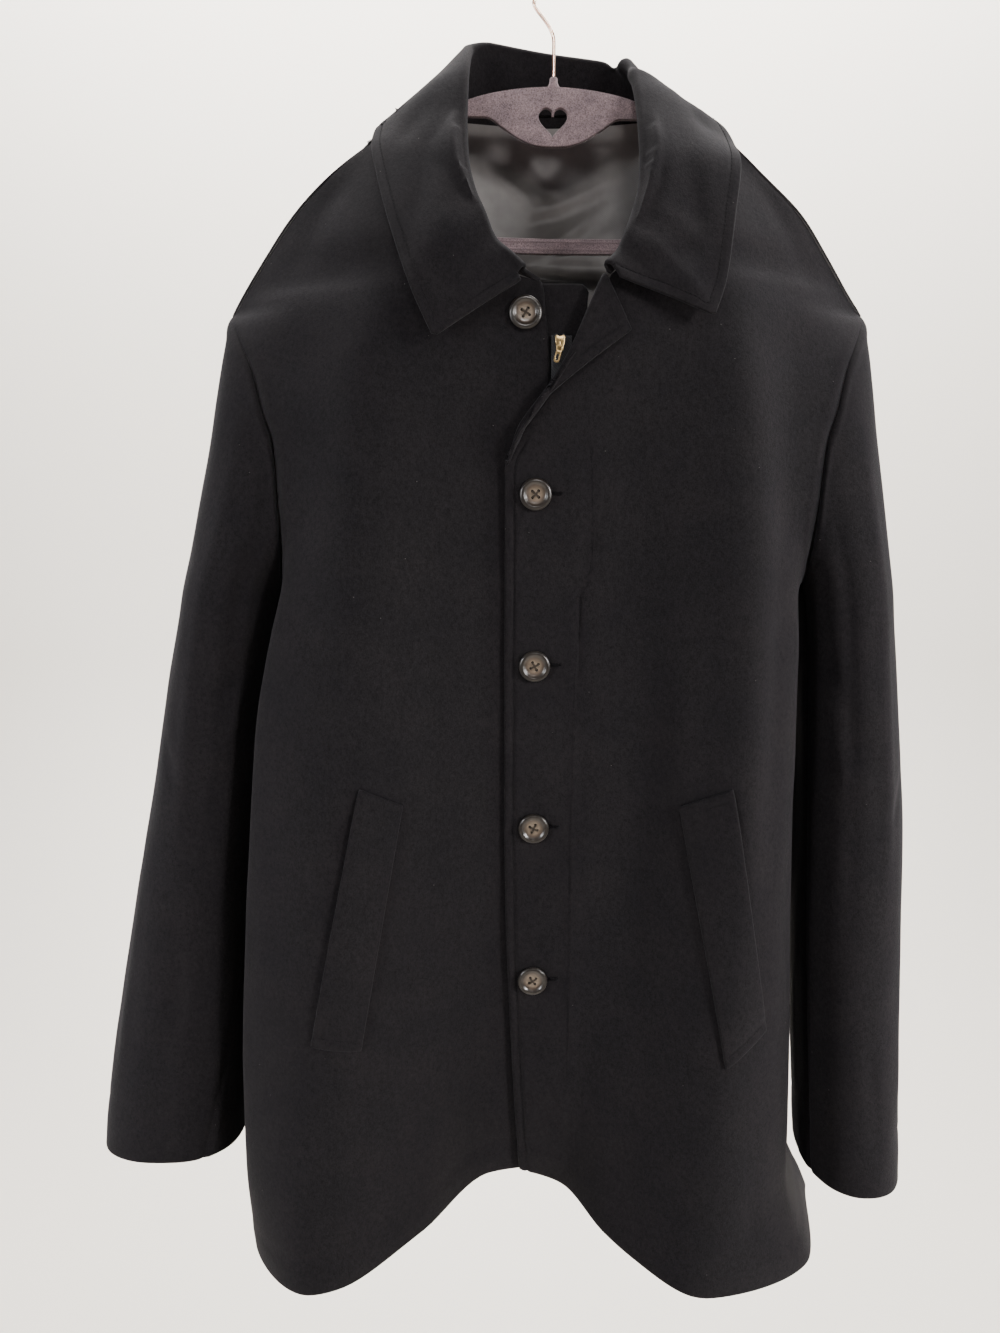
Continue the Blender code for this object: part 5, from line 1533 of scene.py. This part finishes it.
button_places = [(-21.5, "right")] + [(-14.0, "left")] * 4
button_marks = []
for k, (x, side) in enumerate(button_places):
    node = "button_" + str(k + 1)
    z = TOP_BUTTON_Z - BUTTON_PITCH * k
    tree = left_tree if side == "left" else right_tree
    y = min(face_y(tree, x + dx, z + dz) for dx in (-10, 0, 10) for dz in (-10, 0, 10))
    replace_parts(button_piece(node + "_disc", x, y - SEAM, z, 0.35 * math.sin(2.3 * k + 0.7)), node)
    button_marks.append((x, z))


# Topstitching and buttonholes

def thread_piece(name, parts):
    points, faces = gathered(parts)
    return mesh_piece(name, points, faces, [thread])


def path_on(tree, points):
    """Points dropped on a face in the front view, with its outward normals."""
    path = []
    ups = []
    for x, z in points:
        place, normal, _, _ = tree.ray_cast(Vector((x, -400.0, z)), Vector((0, 1, 0)))
        if place is not None:
            path.append(place)
            ups.append(normal if normal.y < 0 else -normal)
    return np.array(path), np.array(ups)


edge_stitches = stitch_column(left_grid, NEAR_STITCH, *EDGE_STITCH_ZS)
placket_stitches = stitch_column(left_grid, NEAR_PLACKET, *PLACKET_STITCH_ZS)
thread_piece("front_left_stitching", [edge_stitches, placket_stitches])
line, ups = line_inside(fall_grid, -1)
thread_piece("collar_fall_stitching", [stitches(line[2:-2], ups[2:-2])])
line, ups = line_inside(lapel_grid, 1)
top_ups = normals_of(lapel_grid, 1)[-4]
lapel_parts = [stitches(line[2:-2], ups[2:-2]), stitches(lapel_grid[-4, 18:-3], top_ups[18:-3])]
thread_piece("facing_left_stitching", lapel_parts)

for side, (_, grid, sign) in welts.items():
    ups = normals_of(grid, sign)
    near = max(1, int(round(6.5 / 185 * len(grid))))
    parts = [stitches(grid[row, 1:-1], ups[row, 1:-1]) for row in (near, len(grid) - 1 - near)]
    thread_piece("pocket_welt_" + side + "_stitching", parts)


HOLE_LIP = 0.75        # from the middle of a buttonhole to its cord
HOLE_CORD = 0.42
WHIP_STITCH = [(-0.75, 0), (-0.3, 0.38), (0.3, 0.38), (0.85, 0)]    # a stitch over the cord, out and up
CORNER_HOLE = (31.4, -296.5)


def buttonhole(tree, centre, along, half):
    """A corded buttonhole: two rows of close stitches, an eye at one end and a bar at the other."""
    along = unit(np.array(along, float))
    across = np.array([-along[1], along[0]])
    centre = np.array(centre, float)
    shares = np.linspace(-1, 1, 40)
    outline = [centre + along * half * s + across * HOLE_LIP for s in shares]
    for k in range(1, 12):
        turn = math.pi * k / 12
        side = (HOLE_LIP + 0.3 * math.sin(2 * turn)) * math.cos(turn)
        outline.append(centre + along * (half + 1.1 * math.sin(turn)) + across * side)
    outline += [centre - along * half * s - across * HOLE_LIP for s in shares]
    path, normals = path_on(tree, outline)
    cord = path + normals * 0.12
    parts = [tube(cord, HOLE_CORD, 6)]
    lengths = way_along(cord)
    for at in np.arange(0.4, lengths[-1] - 0.4, 0.62):
        point = np.array([np.interp(at, lengths, cord[:, a]) for a in range(3)])
        near = np.array([np.interp(at + 0.2, lengths, cord[:, a]) for a in range(3)])
        up = np.array([np.interp(at, lengths, normals[:, a]) for a in range(3)])
        side = unit(np.cross(unit(near - point), up))
        leg = [point + side * out + up * rise for out, rise in WHIP_STITCH]
        parts.append(tube(leg, 0.2, 4, up=up))
    return parts


hole_parts = []
for x, z in button_marks[1:]:
    hole_parts += buttonhole(left_tree, (x + 6.0, z + 0.5), (1, 0), 12.0)
thread_piece("front_left_buttonholes", hole_parts)
corner_hole = buttonhole(tree_of([(lapel_grid, 1)]), CORNER_HOLE, (0.12, 1), 5.6)
thread_piece("facing_left_buttonhole", corner_hole)

# Sizes of the cuts of cloth, worked out and left unused

cut_sheet(left_grid)
cut_sheet(right_grid)
cut_sheet(back_grid)
for node, (piece, grid) in sleeve_pieces.items():
    cut_sheet(grid)
cut_sheet(stand_grid)
cut_sheet(fall_grid)
cut_sheet(lapel_grid)
for side, (piece, grid, _) in welts.items():
    cut_sheet(grid)
cut_sheet(lining_points)
cut_sheet(guard_points)
cut_sheet(tape_right_points)
cut_sheet(tape_left_points)


# Hanger

def rounded(points, steps=4):
    """A coarse outline made finer by a smooth curve through its points."""
    points = np.array(points, float)
    lengths = way_along(points)
    at = [np.linspace(a, b, steps + 1)[:-1] for a, b in zip(lengths, lengths[1:])]
    at = np.concatenate(at + [[lengths[-1]]])
    return [(float(curve(lengths, points[:, 0], s)), float(curve(lengths, points[:, 1], s))) for s in at]


def mirrored(right):
    return right + [(-x, z) for x, z in reversed(right[1:-1])]


HANGER_TOP = [(0, -96), (22, -97.5), (42, -100.5), (61, -105.5), (82, -115.3), (104, -126.3), (126, -139)]
HANGER_TOP += [(148, -156.2), (168, -174), (182, -190), (188, -199), (189, -204), (184, -208.5)]
HANGER_LOW = [(120, -210), (40, -211.5), (0, -212)]
WINDOW_TOP = [(0, -137.3), (11, -136.6), (21, -133.6), (37, -124.5), (49, -117.5), (61, -117.5), (76, -120.5)]
WINDOW_TOP += [(92, -129), (114, -143), (136, -161), (154, -179), (168, -194), (166, -198.5)]
WINDOW_LOW = [(120, -199.5), (40, -200.5), (0, -201)]
heart = []
for k in range(72):
    turn = 2 * math.pi * k / 72
    across = 16 * math.sin(turn) ** 3
    up = 13 * math.cos(turn) - 5 * math.cos(2 * turn) - 2 * math.cos(3 * turn) - math.cos(4 * turn)
    heart.append((across * 0.66, -119.1 + up * 0.71))
frame_outline = mirrored(rounded(HANGER_TOP) + HANGER_LOW)
window_outline = mirrored(rounded(WINDOW_TOP) + WINDOW_LOW)
tilt = Matrix.Rotation(HANGER_TILT, 4, "Y")
tilt.translation = Vector((96 * math.sin(HANGER_TILT), 0, 0)) * MM
half_plate = HANGER_THICKNESS / 2
RIB_ZS = (-203.2, -208.6)      # ribs along both faces of the hanger's bar
hanger = plate_piece("hanger_velvet", frame_outline, (-half_plate, half_plate), 1.1, [window_outline, heart],
                     velvet, tilt)
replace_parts(hanger, "hanger_frame")
rails = []
for z in RIB_ZS:
    for y in (-half_plate, half_plate):
        rails.append(tube([(x, y, z) for x in np.linspace(-150, 150, 40)], 0.9, 8, 0.55))
points, faces = gathered(rails)
rail_piece = mesh_piece("hanger_bar_ribs", points, faces, [velvet])
rail_piece.matrix_world = tilt


def turned(name, profile, material, around, deepest):
    """A body turned about the Z axis from radius and height pairs, flattened to a deepest half."""
    turns = [2 * math.pi * k / around for k in range(around)]
    vertices = [(r * math.cos(t), min(r, deepest) * math.sin(t), z) for r, z in profile for t in turns]
    faces = []
    for i in range(len(profile) - 1):
        for k in range(around):
            m = (k + 1) % around
            faces.append((i * around + k, i * around + m, (i + 1) * around + m, (i + 1) * around + k))
    faces.append(tuple(range(around))[::-1])
    faces.append(tuple((len(profile) - 1) * around + k for k in range(around)))
    return mesh_piece(name, vertices, faces, [material], 45)


NUB = [(5.8, -97.4), (4.9, -96.2), (3.9, -95.1), (3.2, -93.8), (2.9, -92.4), (2.9, -90.7)]
NUB += [(2.5, -89.9), (1.9, -89.6)]
nub = turned("hanger_nub_velvet", NUB, velvet, 32, 2.9)
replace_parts(nub, "hanger_nub")


def hook_route():
    radius = CROOK_RADIUS + HOOK_WIRE / 2
    centre = -CROOK_RADIUS
    stem_top = -66
    route = [(0, z) for z in np.linspace(-89.2, stem_top, 8)]
    join_turn = math.radians(232)
    join_x = radius * math.cos(join_turn)
    join_z = centre + radius * math.sin(join_turn)
    pull_x = join_x + 9 * math.sin(join_turn)
    pull_z = join_z + 9 * math.cos(join_turn)
    for k in range(1, 24):
        s = k / 24
        x = 3 * s * s * (1 - s) * pull_x + s**3 * join_x
        z = (1 - s) ** 3 * stem_top + 3 * s * (1 - s) ** 2 * (stem_top + 14)
        z += 3 * s * s * (1 - s) * pull_z + s**3 * join_z
        route.append((x, z))
    for k in range(97):
        turn = join_turn - math.radians(262) * k / 96
        route.append((radius * math.cos(turn), centre + radius * math.sin(turn)))
    return [(x, 0.0, z) for x, z in route]


route = hook_route()
radii = np.full(len(route), HOOK_WIRE / 2)
route_end = np.array(route[-1])
ahead = unit(route_end - np.array(route[-2]))
for reach, share in ((0.45, 0.93), (0.85, 0.76), (1.15, 0.45), (1.25, 0.12)):
    route.append(tuple(route_end + ahead * (reach - 1.25)))
    radii = np.append(radii, HOOK_WIRE / 2 * share)
order = [k for k in range(len(route) - 4) if np.linalg.norm(np.array(route[k]) - route_end) > 1.3]
order += list(range(len(route) - 4, len(route)))
points, faces = tube([route[k] for k in order], radii[order], 20)
hook = mesh_piece("hook_wire_metal", points, faces, [rose_gold], 40)
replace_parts(hook, "hook_wire")


# Room

profile = [(-3.2, FLOOR_Z), (0.9, FLOOR_Z)]
for k in range(1, 13):
    turn = math.radians(90) * k / 12
    profile.append((0.9 + 0.9 * math.sin(turn), FLOOR_Z + 0.9 - 0.9 * math.cos(turn)))
profile.append((1.8, 2.6))
sides = len(profile)
room_mesh = bpy.data.meshes.new("room")
room_mesh.from_pydata([(x, y, z) for x in (-4.0, 4.0) for y, z in profile], [],
                      [(k, k + 1, sides + k + 1, sides + k) for k in range(sides - 1)])
paint, _, _ = nodes_of("room", {"Base Color": (0.82, 0.78, 0.72, 1), "Roughness": 0.85})
room_mesh.materials.append(paint)
room_mesh.shade_smooth()
linked("room", room_mesh)


def soft_light(name, place, aim, size, power_of, colour, spread=180):
    light = bpy.data.lights.new(name, "AREA")
    light.shape = "RECTANGLE"
    light.size = size[0]
    light.size_y = size[1]
    light.energy = power_of
    light.color = colour
    light.spread = math.radians(spread)
    lamp = linked(name, light)
    lamp.location = place
    lamp.rotation_euler = (Vector(aim) - Vector(place)).to_track_quat("-Z", "Y").to_euler()


centre = (0.0, 0.0, -0.5)
soft_light("key", (1.8, -1.5, 0.0), (0.52, 0.0, -0.62), (0.7, 0.9), 7.0, (1.0, 0.985, 0.97), 38)
soft_light("side", (-1.8, -1.5, -0.1), (-0.52, 0.0, -0.66), (0.7, 0.9), 3.6, (0.97, 0.98, 1.0), 38)
soft_light("edge_left", (2.3, -0.5, -0.2), centre, (0.8, 1.3), 54, (1.0, 0.985, 0.97))
soft_light("edge_right", (-2.3, -0.42, -0.35), centre, (0.8, 1.3), 28, (0.97, 0.98, 1.0))
soft_light("front", (0.2, -2.4, 0.9), (0.0, 0.0, -0.06), (0.5, 0.4), 0.75, (1.0, 0.98, 0.96), 30)
soft_light("wall", (0.0, 0.7, 1.7), (0.0, 1.8, -0.3), (3.4, 0.8), 290, (1.0, 0.975, 0.94))
world = bpy.data.worlds.new("room_air")
world.use_nodes = True
world.node_tree.nodes["Background"].inputs["Color"].default_value = (0.9, 0.93, 1.0, 1)
world.node_tree.nodes["Background"].inputs["Strength"].default_value = 0.1
bpy.context.scene.world = world

lens = bpy.data.cameras.new("view")
lens.sensor_fit = "VERTICAL"
lens.sensor_height = 36
lens.lens = 26
lens.clip_start = 0.05
view = linked("view", lens)
view.location = (-0.039, -0.760, -0.402)
view.rotation_euler = (math.radians(80.9), 0, 0)
bpy.context.scene.camera = view
